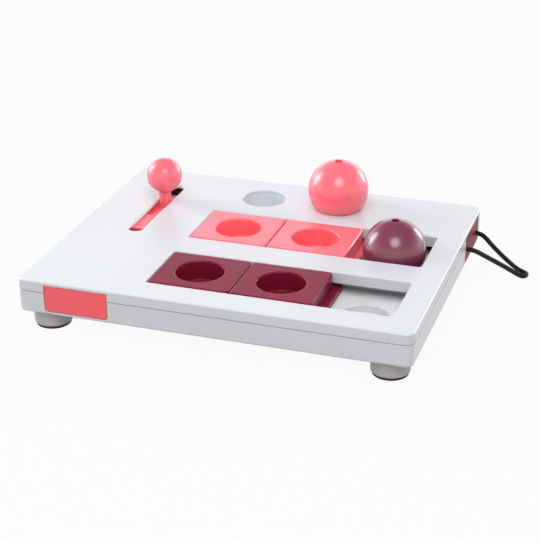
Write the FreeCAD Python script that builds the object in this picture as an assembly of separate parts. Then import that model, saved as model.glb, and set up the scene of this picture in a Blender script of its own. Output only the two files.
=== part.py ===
import FreeCAD, Part
import math
import os

from FreeCAD import Vector

# Cat puzzle board: a two-part white housing on four feet, with two sliding-tile channels, two cups,
# two lift-off domes, a drawer worked by a lever and a drawer pulled by a cord loop.
# Lengths are millimetres. X runs to the right, Y to the rear and Z up from the ground; the origin is
# below the middle of the board.

# Housing
CORNER_RADIUS = 5.5
SKIN = 2.0
FOOT_HEIGHT = 12.5
BASE_HEIGHT = 14.2
COVER_HEIGHT = 7.3
TOP_EDGE_RADIUS = 1.0
BOTTOM_EDGE_RADIUS = 1.5
SEAM_CHAMFER = 0.35
LIP_HEIGHT = 1.6
LIP_THICKNESS = 0.9
LIP_SIDE_GAP = 0.2
LIP_TOP_GAP = 0.3

# Fits
RUN_GAP = 0.2
SIDE_GAP = 0.35
STOP_GAP = 0.3

# Sliding tiles and their channels
TILE_LENGTH = 52.4
TILE_END_GAP = 0.3
CHANNEL_WIDTH = 48.2
CHANNEL_END_COVER = 3.7
CHANNEL_FRONT_MARGIN = 20.25
CHANNEL_BAR = 23.35
CHANNEL_RIGHT_MARGIN = 17.0
CHANNEL_CORNER = 2.0
CHANNEL_WALL = 1.8
OPENING_EDGE_RADIUS = 0.5
TILE_CORNER = 2.8
TILE_EDGE_RADIUS = 0.8
TILE_WALL = 1.8
TILE_GUIDE_GAP = 0.35
TILE_CUP_RADIUS = 15.2
TILE_CUP_DEPTH = 13.0
TILE_CUP_WALL = 1.6
TILE_CUP_FILLET = 1.2
TILE_RIM_RADIUS = 0.6
TILE_RIB = 1.2
TILE_RIB_RISE = 5.0
FLANGE_HEIGHT = 4.0
FLANGE_TONGUE = 4.1
FLANGE_SIDE = 6.2
FLANGE_CORNER = 1.2
TONGUE_CLEARANCE = 1.1

# Deck with the treat wells
DECK_RISE = 4.6
DECK_SKIN = 2.0
DECK_MARGIN_X = 5.5
DECK_LEFT_MARGIN = 10.0
DECK_MARGIN_Y = 0.6
DECK_CORNER = 2.0
DECK_RIB = 1.4
LOCATOR_LENGTH = 6.0
LOCATOR_HEIGHT = 3.0

# Round sockets, all alike: the wells in the deck and the cups in the cover's rear row
SOCKET_RADIUS = 14.8
SOCKET_WALL = 1.6
SOCKET_RIM_RADIUS = 0.3
CUP_DEPTH = 15.0
CUP_FILLET = 1.5
REAR_ROW_INSET = 30.6

# Lift-off domes
DOME_RADIUS = 20.4
DOME_WALL = 1.8
DOME_HOLE_RADIUS = 2.7
DOME_SEAT = 0.58
DOME_COLLAR_GAP = 0.5
DOME_COLLAR_DEPTH = 2.5
DOME_FOOT_RADIUS = 0.15

# Drawer fronts, shared by both drawers
PANEL_WIDTH = 41.6
PANEL_THICKNESS = 2.2
PANEL_CORNER = 2.3
PANEL_GAP = 0.25
PANEL_EDGE_RADIUS = 0.4
TRAY_CORNER = 1.5
TRAY_FLOOR = 1.6
GUIDE_RIB = 1.5
GUIDE_HEIGHT = 5.5

# Lever drawer
LEVER_INSET = 39.5
LEVER_TO_CHANNEL = 38.2
LEVER_TRAVEL = 52.0
LEVER_BODY_WIDTH = 36.4
LEVER_TRAY_WALL = 1.6
LEVER_TRAY_DROP = 2.3
LEVER_GUIDE_START = 30.0
TREAT_TRAY_LENGTH = 49.0
PLATE_SETBACK = 8.9
PLATE_LENGTH = 24.2
POCKET_LENGTH = 42.1
POCKET_WIDTH = 12.0
POCKET_DEPTH = 2.1
POCKET_CORNER = 1.0
SLOT_INSET = 90.5
SLOT_LENGTH = 83.2
SLOT_WIDTH = 9.4
STEM_GAP = 0.4

# Lever knob
STEM_RADIUS = 4.1
BALL_RADIUS = 12.1
BALL_LIFT = 22.5
NECK_RADIUS = 1.6
LEVER_BOSS_RADIUS = 4.5
LEVER_BOSS_HEIGHT = 2.0
LEVER_SCREW_BITE = 10.0

# Pull drawer
PULL_REAR_GAP = 1.6
PULL_POST_INSET = 22.6
PULL_SILL_DROP = 0.7
PULL_BODY_WIDTH = 38.0
PULL_TRAY_WALL = 1.4
PULL_TRAY_DROP = 2.3
EAR_REACH = 1.6
PULL_DECK_GAP = 0.5
EAR_LENGTH = 1.8
CORD_HOLE_SPACING = 28.4
CORD_HOLE_HEIGHT = 8.8
CORD_HOLE_RADIUS = 2.0

# Pull cord
CORD_DIAMETER = 3.2
CORD_BEND_SHARE = 0.45
KNOT_RADIUS = 3.2
KNOT_FACE_RADIUS = 1.8
KNOT_GAP = 0.2

# Feet and pads
FOOT_INSET_X = 16.3
FOOT_INSET_Y = 15.3
FOOT_RADIUS = 12.0
FOOT_EDGE_RADIUS = 1.2
SPIGOT_RADIUS = 5.0
SPIGOT_GAP = 0.05
FOOT_CORE_INNER = 6.6
FOOT_CORE_OUTER = 10.0
FOOT_FLOOR = 3.2
PAD_RADIUS = 10.4
PAD_PROUD = 1.8
PAD_SEAT_DEPTH = 1.2
PAD_GAP = 0.1
PAD_CHAMFER = 0.4

# Screws
SCREW_RADIUS = 1.4
SCREW_GAP = 0.08
SCREW_HEAD_RADIUS = 2.8
SCREW_HEAD_HEIGHT = 1.7
SCREW_HEAD_EDGE = 0.55
SCREW_POINT = 0.7
SCREW_BITE = 8.0
SCREW_END_GAP = 1.3
SCREW_CROSS_WIDTH = 0.7
SCREW_CROSS_LENGTH = 3.2
SCREW_CROSS_DEPTH = 0.8
SCREW_HOLE_RADIUS = 1.7
COUNTERBORE_RADIUS = 3.2
COUNTERBORE_DEPTH = 1.9
SEAT_RADIUS = 4.5
SEAT_RISE = 1.8
BOSS_RADIUS = 3.5
LEFT_SCREWS_INSET = 10.5
RIGHT_SCREWS_INSET = 6.4
SIDE_SCREWS_FROM_FRONT = 45.0
LEFT_SCREW_FROM_REAR = 45.0
RIGHT_SCREW_FROM_REAR = 64.0
FRONT_SCREW_INSET = 7.2
REAR_SCREW_INSET = 12.0

# How near two places count as the same, in mm
TINY = 1e-4

# Levels, worked out from the sizes above
UNDERSIDE = FOOT_HEIGHT
FLOOR = UNDERSIDE + SKIN
SEAM = UNDERSIDE + BASE_HEIGHT
TOP = SEAM + COVER_HEIGHT
CEILING = TOP - SKIN
DECK = FLOOR + DECK_RISE
SEAT = FLOOR + SEAT_RISE

# Plan of the board, worked out from what lies side by side on it
CELLS = 3
CELL_PITCH = TILE_LENGTH + 2 * TILE_END_GAP
CHANNEL_LENGTH = CELLS * CELL_PITCH - CHANNEL_END_COVER
TILE_WIDTH = CHANNEL_WIDTH - 2 * TILE_GUIDE_GAP
FLANGE_WIDTH = TILE_WIDTH + 2 * FLANGE_SIDE
DECK_REACH = FLANGE_WIDTH / 2 + DECK_MARGIN_Y
PULL_GUIDE_INNER = PULL_BODY_WIDTH / 2 + EAR_REACH + SIDE_GAP
PULL_GUIDE_REACH = PULL_GUIDE_INNER + GUIDE_RIB
REAR_ROW_SPACE = DECK_REACH - CHANNEL_WIDTH / 2 + PULL_DECK_GAP + PULL_GUIDE_REACH
BOARD_LENGTH = LEVER_INSET + LEVER_TO_CHANNEL + CHANNEL_LENGTH + CHANNEL_RIGHT_MARGIN
BOARD_WIDTH = CHANNEL_FRONT_MARGIN + 2 * CHANNEL_WIDTH + CHANNEL_BAR + REAR_ROW_SPACE + REAR_ROW_INSET
RIGHT = BOARD_LENGTH / 2
REAR = BOARD_WIDTH / 2
CHANNEL_RIGHT = RIGHT - CHANNEL_RIGHT_MARGIN
CHANNEL_LEFT = CHANNEL_RIGHT - CHANNEL_LENGTH
FRONT_CHANNEL_Y = -REAR + CHANNEL_FRONT_MARGIN + CHANNEL_WIDTH / 2
REAR_CHANNEL_Y = FRONT_CHANNEL_Y + CHANNEL_WIDTH + CHANNEL_BAR
BAR_Y = (FRONT_CHANNEL_Y + REAR_CHANNEL_Y) / 2
CELL_X = [CHANNEL_LEFT + CELL_PITCH * (index + 0.5) for index in range(CELLS)]
FLANGE_BOTTOM = DECK + RUN_GAP
FLANGE_TOP = FLANGE_BOTTOM + FLANGE_HEIGHT
DECK_X = (CHANNEL_LEFT - DECK_LEFT_MARGIN, CHANNEL_RIGHT + DECK_MARGIN_X)
DECK_Y = (FRONT_CHANNEL_Y - DECK_REACH, REAR_CHANNEL_Y + DECK_REACH)
REAR_ROW_Y = REAR - REAR_ROW_INSET
DOME_COLLAR_RADIUS = SOCKET_RADIUS - DOME_COLLAR_GAP
DOME_SEAT_RADIUS = SOCKET_RADIUS + DOME_SEAT
DOME_CENTRE_HEIGHT = math.sqrt(DOME_RADIUS ** 2 - DOME_SEAT_RADIUS ** 2)
LEVER_X = -RIGHT + LEVER_INSET
SLOT_FRONT_Y = -REAR + SLOT_INSET
LEVER_Y = SLOT_FRONT_Y + STEM_GAP + STEM_RADIUS + LEVER_TRAVEL
PLATE_START = SLOT_INSET + PLATE_SETBACK
POCKET_START = PLATE_START + PLATE_LENGTH
LEVER_DRAWER_LENGTH = POCKET_START + POCKET_LENGTH
PULL_DRAWER_LENGTH = RIGHT - CELL_X[1] - SOCKET_RADIUS - SOCKET_WALL - PULL_REAR_GAP
DRAWER_TOP = CEILING - RUN_GAP
DRAWER_BOTTOM = FLOOR + RUN_GAP
POCKET_FLOOR = DRAWER_TOP - POCKET_DEPTH
LEVER_PLATE_BOTTOM = POCKET_FLOOR - LEVER_TRAY_WALL
CORD_HOLE_Z = UNDERSIDE + CORD_HOLE_HEIGHT
FOOT_SPOTS = {
    "front_left": (-RIGHT + FOOT_INSET_X, -REAR + FOOT_INSET_Y),
    "front_right": (RIGHT - FOOT_INSET_X, -REAR + FOOT_INSET_Y),
    "rear_left": (-RIGHT + FOOT_INSET_X, REAR - FOOT_INSET_Y),
    "rear_right": (RIGHT - FOOT_INSET_X, REAR - FOOT_INSET_Y),
}
BAR_SCREW = ((CELL_X[0] + CELL_X[1]) / 2, BAR_Y)
RIM_SCREWS = [
    (-RIGHT + LEFT_SCREWS_INSET, -REAR + SIDE_SCREWS_FROM_FRONT),
    (-RIGHT + LEFT_SCREWS_INSET, REAR - LEFT_SCREW_FROM_REAR),
    (RIGHT - RIGHT_SCREWS_INSET, -REAR + SIDE_SCREWS_FROM_FRONT),
    (RIGHT - RIGHT_SCREWS_INSET, REAR - RIGHT_SCREW_FROM_REAR),
    (BAR_SCREW[0], -REAR + FRONT_SCREW_INSET),
    (BAR_SCREW[0], REAR - REAR_SCREW_INSET),
]

# The cord's route from its knot behind the panel to the tip of the loop, as points chosen along it:
# distance out from the panel's outer face, half the loop's width, height above the ground.
CORD_HALF_ROUTE = [
    (-PANEL_THICKNESS - KNOT_GAP, CORD_HOLE_SPACING / 2, CORD_HOLE_Z),
    (1.6, CORD_HOLE_SPACING / 2, CORD_HOLE_Z),
    (5.9, 13.2, 20.1),
    (11.6, 10.1, 15.9),
    (18.2, 7.2, 11.5),
    (25.4, 4.6, 6.9),
    (31.6, 3.4, 3.1),
    (35.7, 3.5, 1.65),
    (37.8, 1.5, 1.65),
]


def box(x_span, y_span, z_span):
    """A block between two corners, given as a low and a high value on each axis."""
    size = [high - low for low, high in (x_span, y_span, z_span)]
    return Part.makeBox(*size, Vector(x_span[0], y_span[0], z_span[0]))


def cylinder(x, y, z_span, radius):
    """An upright cylinder."""
    return Part.makeCylinder(radius, z_span[1] - z_span[0], Vector(x, y, z_span[0]))


def rounded_block(x_span, y_span, z_span, radius):
    """A block whose four upright edges are rounded."""
    z = z_span[0]
    corners = [
        (x_span[1] - radius, y_span[0] + radius, -90),
        (x_span[1] - radius, y_span[1] - radius, 0),
        (x_span[0] + radius, y_span[1] - radius, 90),
        (x_span[0] + radius, y_span[0] + radius, 180),
    ]
    arcs = []
    for x, y, start in corners:
        points = []
        for degrees in (start, start + 45, start + 90):
            turn = math.radians(degrees)
            points.append(Vector(x + radius * math.cos(turn), y + radius * math.sin(turn), z))
        arcs.append(points)
    edges = []
    for arc, following in zip(arcs, arcs[1:] + arcs[:1]):
        edges.append(Part.Arc(*arc).toShape())
        edges.append(Part.LineSegment(arc[2], following[0]).toShape())
    return Part.Face(Part.Wire(edges)).extrude(Vector(0, 0, z_span[1] - z))


def centred_block(centre, size, z_span, radius):
    """A rounded block given by the middle of its plan and its length and width."""
    x_span = (centre[0] - size[0] / 2, centre[0] + size[0] / 2)
    y_span = (centre[1] - size[1] / 2, centre[1] + size[1] / 2)
    return rounded_block(x_span, y_span, z_span, radius)


def level_edges(shape, z, x_span=(-BOARD_LENGTH, BOARD_LENGTH), y_span=(-BOARD_WIDTH, BOARD_WIDTH)):
    """The edges of a shape that lie in one level plane, within a stretch of the plan."""
    found = []
    for edge in shape.Edges:
        limits = edge.BoundBox
        level = abs(limits.ZMin - z) < TINY and abs(limits.ZMax - z) < TINY
        inside_x = limits.XMin > x_span[0] and limits.XMax < x_span[1]
        inside_y = limits.YMin > y_span[0] and limits.YMax < y_span[1]
        if level and inside_x and inside_y:
            found.append(edge)
    return found


def housing_block(z_span, inset):
    """The board's outline between two levels, set in from its outer faces."""
    size = (BOARD_LENGTH - 2 * inset, BOARD_WIDTH - 2 * inset)
    return centred_block((0, 0), size, z_span, CORNER_RADIUS - inset)


def front_profile(half_width, z_span, depth):
    """A drawer front's outline, with rounded lower corners, extruded rearwards from y = 0."""
    low, high = z_span
    round_x = half_width - PANEL_CORNER
    mid = PANEL_CORNER * (1 - math.sqrt(0.5))
    left_arc = Part.Arc(
        Vector(-half_width, 0, low + PANEL_CORNER),
        Vector(-half_width + mid, 0, low + mid),
        Vector(-round_x, 0, low),
    )
    right_arc = Part.Arc(
        Vector(round_x, 0, low),
        Vector(half_width - mid, 0, low + mid),
        Vector(half_width, 0, low + PANEL_CORNER),
    )
    edges = [
        Part.LineSegment(Vector(-half_width, 0, high), left_arc.StartPoint).toShape(),
        left_arc.toShape(),
        Part.LineSegment(left_arc.EndPoint, right_arc.StartPoint).toShape(),
        right_arc.toShape(),
        Part.LineSegment(right_arc.EndPoint, Vector(half_width, 0, high)).toShape(),
        Part.LineSegment(Vector(half_width, 0, high), Vector(-half_width, 0, high)).toShape(),
    ]
    return Part.Face(Part.Wire(edges)).extrude(Vector(0, depth, 0))


def in_front_wall(shape):
    """Moves a drawer part from its own frame, front face at y = 0, to the lever's place."""
    placed = shape.copy()
    placed.translate(Vector(LEVER_X, -REAR, 0))
    return placed


def in_right_wall(shape):
    """Moves a drawer part from its own frame, front face at y = 0, to the right-hand wall."""
    placed = shape.copy()
    placed.rotate(Vector(0, 0, 0), Vector(0, 0, 1), 90)
    placed.translate(Vector(RIGHT, REAR_ROW_Y, 0))
    return placed


def drawer_windows():
    """The openings that both drawer fronts fill, cut through the rims of base and cover."""
    half = PANEL_WIDTH / 2 + PANEL_GAP
    reach = PANEL_THICKNESS + 2 * PANEL_GAP
    lever = front_profile(half, (FLOOR, CEILING), reach)
    pull = front_profile(half, (FLOOR - PULL_SILL_DROP, CEILING), reach)
    outward = Vector(0, -PANEL_GAP, 0)
    return [in_front_wall(lever.translated(outward)), in_right_wall(pull.translated(outward))]


def lever_guide():
    """The rib on the floor that runs beside and behind the lever drawer, which it guides and stops."""
    inner = LEVER_BODY_WIDTH / 2 + SIDE_GAP
    z_span = (FLOOR, FLOOR + GUIDE_HEIGHT)
    stop_y = LEVER_DRAWER_LENGTH + STOP_GAP
    outside = box((-inner - GUIDE_RIB, inner + GUIDE_RIB), (LEVER_GUIDE_START, stop_y + GUIDE_RIB), z_span)
    return in_front_wall(outside.cut(box((-inner, inner), (LEVER_GUIDE_START, stop_y), z_span)))


def pull_guides():
    """Ribs on the floor beside the pull drawer, with the posts that stop its ears."""
    post_reach = PULL_BODY_WIDTH / 2 + SIDE_GAP
    z_span = (FLOOR, FLOOR + GUIDE_HEIGHT)
    y_span = (PANEL_THICKNESS + 2 * PANEL_GAP, PULL_DRAWER_LENGTH + STOP_GAP)
    post_y = (PULL_POST_INSET - GUIDE_RIB, PULL_POST_INSET)
    guides = []
    for side in (-1, 1):
        rib_x = sorted((side * PULL_GUIDE_INNER, side * PULL_GUIDE_REACH))
        post_x = sorted((side * post_reach, side * PULL_GUIDE_REACH))
        rib = box(rib_x, y_span, z_span).fuse(box(post_x, post_y, z_span))
        guides.append(in_right_wall(rib.removeSplitter()))
    return guides


def deck_locators():
    """Angle ribs on the floor that hold the deck by its four corners."""
    z_span = (FLOOR, FLOOR + LOCATOR_HEIGHT)
    shapes = []
    for side_x, edge_x in zip((-1, 1), DECK_X):
        for side_y, edge_y in zip((-1, 1), DECK_Y):
            near = (edge_x + side_x * RUN_GAP, edge_y + side_y * RUN_GAP)
            far = (near[0] + side_x * GUIDE_RIB, near[1] + side_y * GUIDE_RIB)
            back = (edge_x - side_x * LOCATOR_LENGTH, edge_y - side_y * LOCATOR_LENGTH)
            across = box(sorted((near[0], far[0])), sorted((back[1], far[1])), z_span)
            along = box(sorted((back[0], far[0])), sorted((near[1], far[1])), z_span)
            shapes.append(across.fuse(along).removeSplitter())
    return shapes


def floor_ribs():
    """All the low ribs on the floor: the guides and stops of both drawers and the deck's locators."""
    return Part.makeCompound([lever_guide()] + pull_guides() + deck_locators())


def base_shell():
    """The lower half of the housing: floor, rim with its lip, and screw seats."""
    shell = housing_block((UNDERSIDE, SEAM), 0)
    shell = shell.makeFillet(BOTTOM_EDGE_RADIUS, level_edges(shell, UNDERSIDE))
    shell = shell.makeChamfer(SEAM_CHAMFER, level_edges(shell, SEAM))
    shell = shell.cut(housing_block((FLOOR, SEAM + LIP_HEIGHT), SKIN))
    lip = housing_block((SEAM - LIP_HEIGHT, SEAM + LIP_HEIGHT), SKIN - LIP_THICKNESS)
    lip = lip.cut(housing_block((FLOOR, SEAM + 2 * LIP_HEIGHT), SKIN))
    screws = RIM_SCREWS + [BAR_SCREW]
    seats = [cylinder(x, y, (FLOOR - SKIN / 2, SEAT), SEAT_RADIUS) for x, y in screws]
    shell = shell.fuse([lip] + seats)
    holes = drawer_windows()
    for x, y in screws:
        holes.append(cylinder(x, y, (UNDERSIDE, SEAT), SCREW_HOLE_RADIUS))
        holes.append(cylinder(x, y, (UNDERSIDE, UNDERSIDE + COUNTERBORE_DEPTH), COUNTERBORE_RADIUS))
    for x, y in FOOT_SPOTS.values():
        holes.append(cylinder(x, y, (UNDERSIDE, FLOOR), SPIGOT_RADIUS + SPIGOT_GAP))
    return shell.cut(holes).removeSplitter()


def channel_block(y, z_span, grow, corner):
    """The plan of one channel opening between two levels, widened all round."""
    x_span = (CHANNEL_LEFT - grow, CHANNEL_RIGHT + grow)
    y_span = (y - CHANNEL_WIDTH / 2 - grow, y + CHANNEL_WIDTH / 2 + grow)
    return rounded_block(x_span, y_span, z_span, corner + grow)


def lever_slot(z_span):
    """The straight slot with round ends in which the lever's stem runs."""
    half = SLOT_WIDTH / 2
    ends = (SLOT_FRONT_Y + half, SLOT_FRONT_Y + SLOT_LENGTH - half)
    middle = box((LEVER_X - half, LEVER_X + half), ends, z_span)
    return middle.fuse([cylinder(LEVER_X, y, z_span, half) for y in ends]).removeSplitter()


def treat_cup(x):
    """One cup of the rear row, hung below its mouth in the skin."""
    bottom = TOP - CUP_DEPTH
    cup = cylinder(x, REAR_ROW_Y, (bottom - SOCKET_WALL, CEILING), SOCKET_RADIUS + SOCKET_WALL)
    hollow = cylinder(x, REAR_ROW_Y, (bottom, CEILING), SOCKET_RADIUS)
    return cup.cut(hollow.makeFillet(CUP_FILLET, level_edges(hollow, bottom)))


def channel_wall(y):
    """The wall that hangs below the skin all round one channel."""
    outside = channel_block(y, (SEAM, CEILING), CHANNEL_WALL, CHANNEL_CORNER)
    return outside.cut(channel_block(y, (SEAM, CEILING), 0, CHANNEL_CORNER))


def screw_post(x, y, bottom):
    """A post under the skin that reaches down to its seat, with the hole that its screw runs in."""
    hole_z = (bottom, bottom + SCREW_BITE + SCREW_END_GAP)
    post = cylinder(x, y, (bottom, CEILING), BOSS_RADIUS)
    return post.cut(cylinder(x, y, hole_z, SCREW_RADIUS + SCREW_GAP))


def cover_posts():
    """The screw posts under the skin, the middle one joined to the rib between the channels."""
    rib_y = (BAR_Y - GUIDE_RIB / 2, BAR_Y + GUIDE_RIB / 2)
    rib = box((CHANNEL_LEFT, CHANNEL_RIGHT), rib_y, (DECK + STOP_GAP, CEILING))
    rib = rib.cut(cylinder(*BAR_SCREW, (DECK, CEILING), BOSS_RADIUS))
    middle = screw_post(*BAR_SCREW, DECK).fuse(rib).removeSplitter()
    return Part.makeCompound([screw_post(x, y, SEAT) for x, y in RIM_SCREWS] + [middle])


def cover_rim():
    """The rim of the housing's upper half, from the seam to the skin, open at both drawer fronts."""
    rim = housing_block((SEAM, CEILING), 0)
    rim = rim.makeChamfer(SEAM_CHAMFER, level_edges(rim, SEAM))
    lip_room = SKIN - LIP_THICKNESS - LIP_SIDE_GAP
    rim = rim.cut([
        housing_block((SEAM, CEILING), SKIN),
        housing_block((SEAM, SEAM + LIP_HEIGHT + LIP_TOP_GAP), lip_room),
    ])
    return rim.cut(drawer_windows())


def top_cover():
    """The skin of the housing's upper half, with its two channels, the slot and two cup mouths."""
    skin_z = (CEILING, TOP)
    cover = housing_block(skin_z, 0)
    cover = cover.makeFillet(TOP_EDGE_RADIUS, level_edges(cover, TOP))
    openings = [channel_block(y, skin_z, 0, CHANNEL_CORNER) for y in (FRONT_CHANNEL_Y, REAR_CHANNEL_Y)]
    openings.append(lever_slot(skin_z))
    openings += [cylinder(x, REAR_ROW_Y, skin_z, SOCKET_RADIUS) for x in CELL_X[:2]]
    cover = cover.cut(openings).removeSplitter()
    cup_rims = [edge for edge in level_edges(cover, TOP) if edge.isClosed()]
    cover = cover.makeFillet(SOCKET_RIM_RADIUS, cup_rims)
    inner_x = (-RIGHT + CORNER_RADIUS, RIGHT - CORNER_RADIUS)
    inner_y = (-REAR + CORNER_RADIUS, REAR - CORNER_RADIUS)
    edges = [edge for edge in level_edges(cover, TOP, inner_x, inner_y) if not edge.isClosed()]
    return cover.makeFillet(OPENING_EDGE_RADIUS, edges)


def well_deck():
    """The raised deck that the tiles slide on, with a collared well in each of its six cells."""
    deck = rounded_block(DECK_X, DECK_Y, (FLOOR, DECK), DECK_CORNER)
    inner_x = (DECK_X[0] + DECK_SKIN, DECK_X[1] - DECK_SKIN)
    inner_y = (DECK_Y[0] + DECK_SKIN, DECK_Y[1] - DECK_SKIN)
    deck = deck.cut(box(inner_x, inner_y, (FLOOR, DECK - DECK_SKIN)))
    wells = [(x, y) for y in (FRONT_CHANNEL_Y, REAR_CHANNEL_Y) for x in CELL_X]
    collars = [cylinder(x, y, (FLOOR, DECK), SOCKET_RADIUS + SOCKET_WALL) for x, y in wells]
    collars.append(cylinder(*BAR_SCREW, (SEAT, DECK), SEAT_RADIUS))
    ribs = []
    for left, right in zip(CELL_X, CELL_X[1:]):
        rib_x = ((left + right - DECK_RIB) / 2, (left + right + DECK_RIB) / 2)
        ribs.append(box(rib_x, (inner_y[0], BAR_Y - 2 * SEAT_RADIUS), (FLOOR, DECK)))
        ribs.append(box(rib_x, (BAR_Y + 2 * SEAT_RADIUS, inner_y[1]), (FLOOR, DECK)))
    deck = deck.fuse(collars + ribs)
    hollows = [cylinder(x, y, (FLOOR, DECK), SOCKET_RADIUS) for x, y in wells]
    hollows.append(cylinder(*BAR_SCREW, (FLOOR, DECK), SCREW_HOLE_RADIUS))
    deck = deck.cut(hollows).removeSplitter()
    rims = [edge for edge in level_edges(deck, DECK)
            if edge.isClosed() and edge.BoundBox.XLength > SOCKET_RADIUS]
    return deck.makeFillet(SOCKET_RIM_RADIUS, rims)


def slider_tile(x, y):
    """One sliding tile: a hollow moulding with a blind cup, a retaining flange and a tongue."""
    half_x = TILE_LENGTH / 2
    half_y = TILE_WIDTH / 2
    step = -half_x + FLANGE_TONGUE + TONGUE_CLEARANCE
    overhang = FLANGE_TOP + STOP_GAP
    flange_x = (step, half_x + FLANGE_TONGUE)
    flange_y = FLANGE_WIDTH / 2
    block = rounded_block((-half_x, half_x), (-half_y, half_y), (overhang, TOP), TILE_CORNER)
    block = block.makeFillet(TILE_EDGE_RADIUS, level_edges(block, TOP))
    neck = box((step, half_x), (-half_y, half_y), (FLANGE_BOTTOM, overhang))
    flange = rounded_block(flange_x, (-flange_y, flange_y), (FLANGE_BOTTOM, FLANGE_TOP), FLANGE_CORNER)
    tile = block.fuse([neck, flange])
    roof = TOP - TILE_WALL
    hollows = [
        box((-half_x + TILE_WALL, step), (-half_y + TILE_WALL, half_y - TILE_WALL), (overhang, roof)),
        box((step + TILE_WALL, half_x - TILE_WALL), (-half_y + TILE_WALL, half_y - TILE_WALL),
            (FLANGE_BOTTOM, roof)),
        box((step + TILE_WALL, flange_x[1] - TILE_WALL), (-flange_y + TILE_WALL, flange_y - TILE_WALL),
            (FLANGE_BOTTOM, FLANGE_TOP - TILE_WALL)),
    ]
    tile = tile.cut(hollows)
    cup_floor = TOP - TILE_CUP_DEPTH
    outer = TILE_CUP_RADIUS + TILE_CUP_WALL
    rib_z = (roof - TILE_RIB_RISE, roof + TILE_WALL / 2)
    added = [
        cylinder(0, 0, (cup_floor - TILE_CUP_WALL, TOP - TILE_WALL / 2), outer),
        box((step + TILE_WALL / 2, half_x - TILE_WALL / 2), (-TILE_RIB / 2, TILE_RIB / 2), rib_z),
        box((-TILE_RIB / 2, TILE_RIB / 2), (-half_y + TILE_WALL / 2, half_y - TILE_WALL / 2), rib_z),
    ]
    hollow = cylinder(0, 0, (cup_floor, TOP), TILE_CUP_RADIUS)
    hollow = hollow.makeFillet(TILE_CUP_FILLET, level_edges(hollow, cup_floor))
    tile = tile.fuse(added).cut(hollow).removeSplitter()
    rim = level_edges(tile, TOP, (-outer, outer), (-outer, outer))
    tile = tile.makeFillet(TILE_RIM_RADIUS, rim)
    return tile.translated(Vector(x, y, 0))


def dome(x, y, seat):
    """A lift-off dome: a hollow cut ball with a hole on top and a collar that drops into its well."""
    inner = DOME_RADIUS - DOME_WALL
    inner_collar = DOME_COLLAR_RADIUS - DOME_WALL
    tip_turn = math.asin(DOME_HOLE_RADIUS / DOME_RADIUS)
    inner_tip_turn = math.asin(DOME_HOLE_RADIUS / inner)
    inner_low = -math.sqrt(inner ** 2 - inner_collar ** 2)

    def on_ball(radius, turn):
        return Vector(radius * math.sin(turn), 0, radius * math.cos(turn))

    foot = Vector(DOME_SEAT_RADIUS, 0, -DOME_CENTRE_HEIGHT)
    shoulder = Vector(DOME_COLLAR_RADIUS, 0, -DOME_CENTRE_HEIGHT)
    collar_low = -DOME_CENTRE_HEIGHT - DOME_COLLAR_DEPTH
    collar_out = Vector(DOME_COLLAR_RADIUS, 0, collar_low)
    collar_in = Vector(inner_collar, 0, collar_low)
    inner_foot = Vector(inner_collar, 0, inner_low)
    tip = on_ball(DOME_RADIUS, tip_turn)
    inner_tip = on_ball(inner, inner_tip_turn)
    edges = [
        Part.Arc(foot, Vector(DOME_RADIUS, 0, 0), tip).toShape(),
        Part.LineSegment(tip, inner_tip).toShape(),
        Part.Arc(inner_tip, Vector(inner, 0, 0), inner_foot).toShape(),
        Part.LineSegment(inner_foot, collar_in).toShape(),
        Part.LineSegment(collar_in, collar_out).toShape(),
        Part.LineSegment(collar_out, shoulder).toShape(),
        Part.LineSegment(shoulder, foot).toShape(),
    ]
    profile = Part.Face(Part.Wire(edges))
    ball = profile.revolve(Vector(0, 0, 0), Vector(0, 0, 1), 360)
    rims = [edge for edge in level_edges(ball, -DOME_CENTRE_HEIGHT)
            if edge.BoundBox.XMax > SOCKET_RADIUS]
    ball = ball.makeFillet(DOME_FOOT_RADIUS, rims)
    return ball.translated(Vector(x, y, seat + DOME_CENTRE_HEIGHT))


def drawer_panel(sill):
    """The flush front of a drawer, its outer edges softened."""
    panel = front_profile(PANEL_WIDTH / 2, (sill + PANEL_GAP, DRAWER_TOP), PANEL_THICKNESS)
    outer = [edge for edge in panel.Edges if edge.BoundBox.YMax < TINY]
    return panel.makeFillet(PANEL_EDGE_RADIUS, outer)


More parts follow.
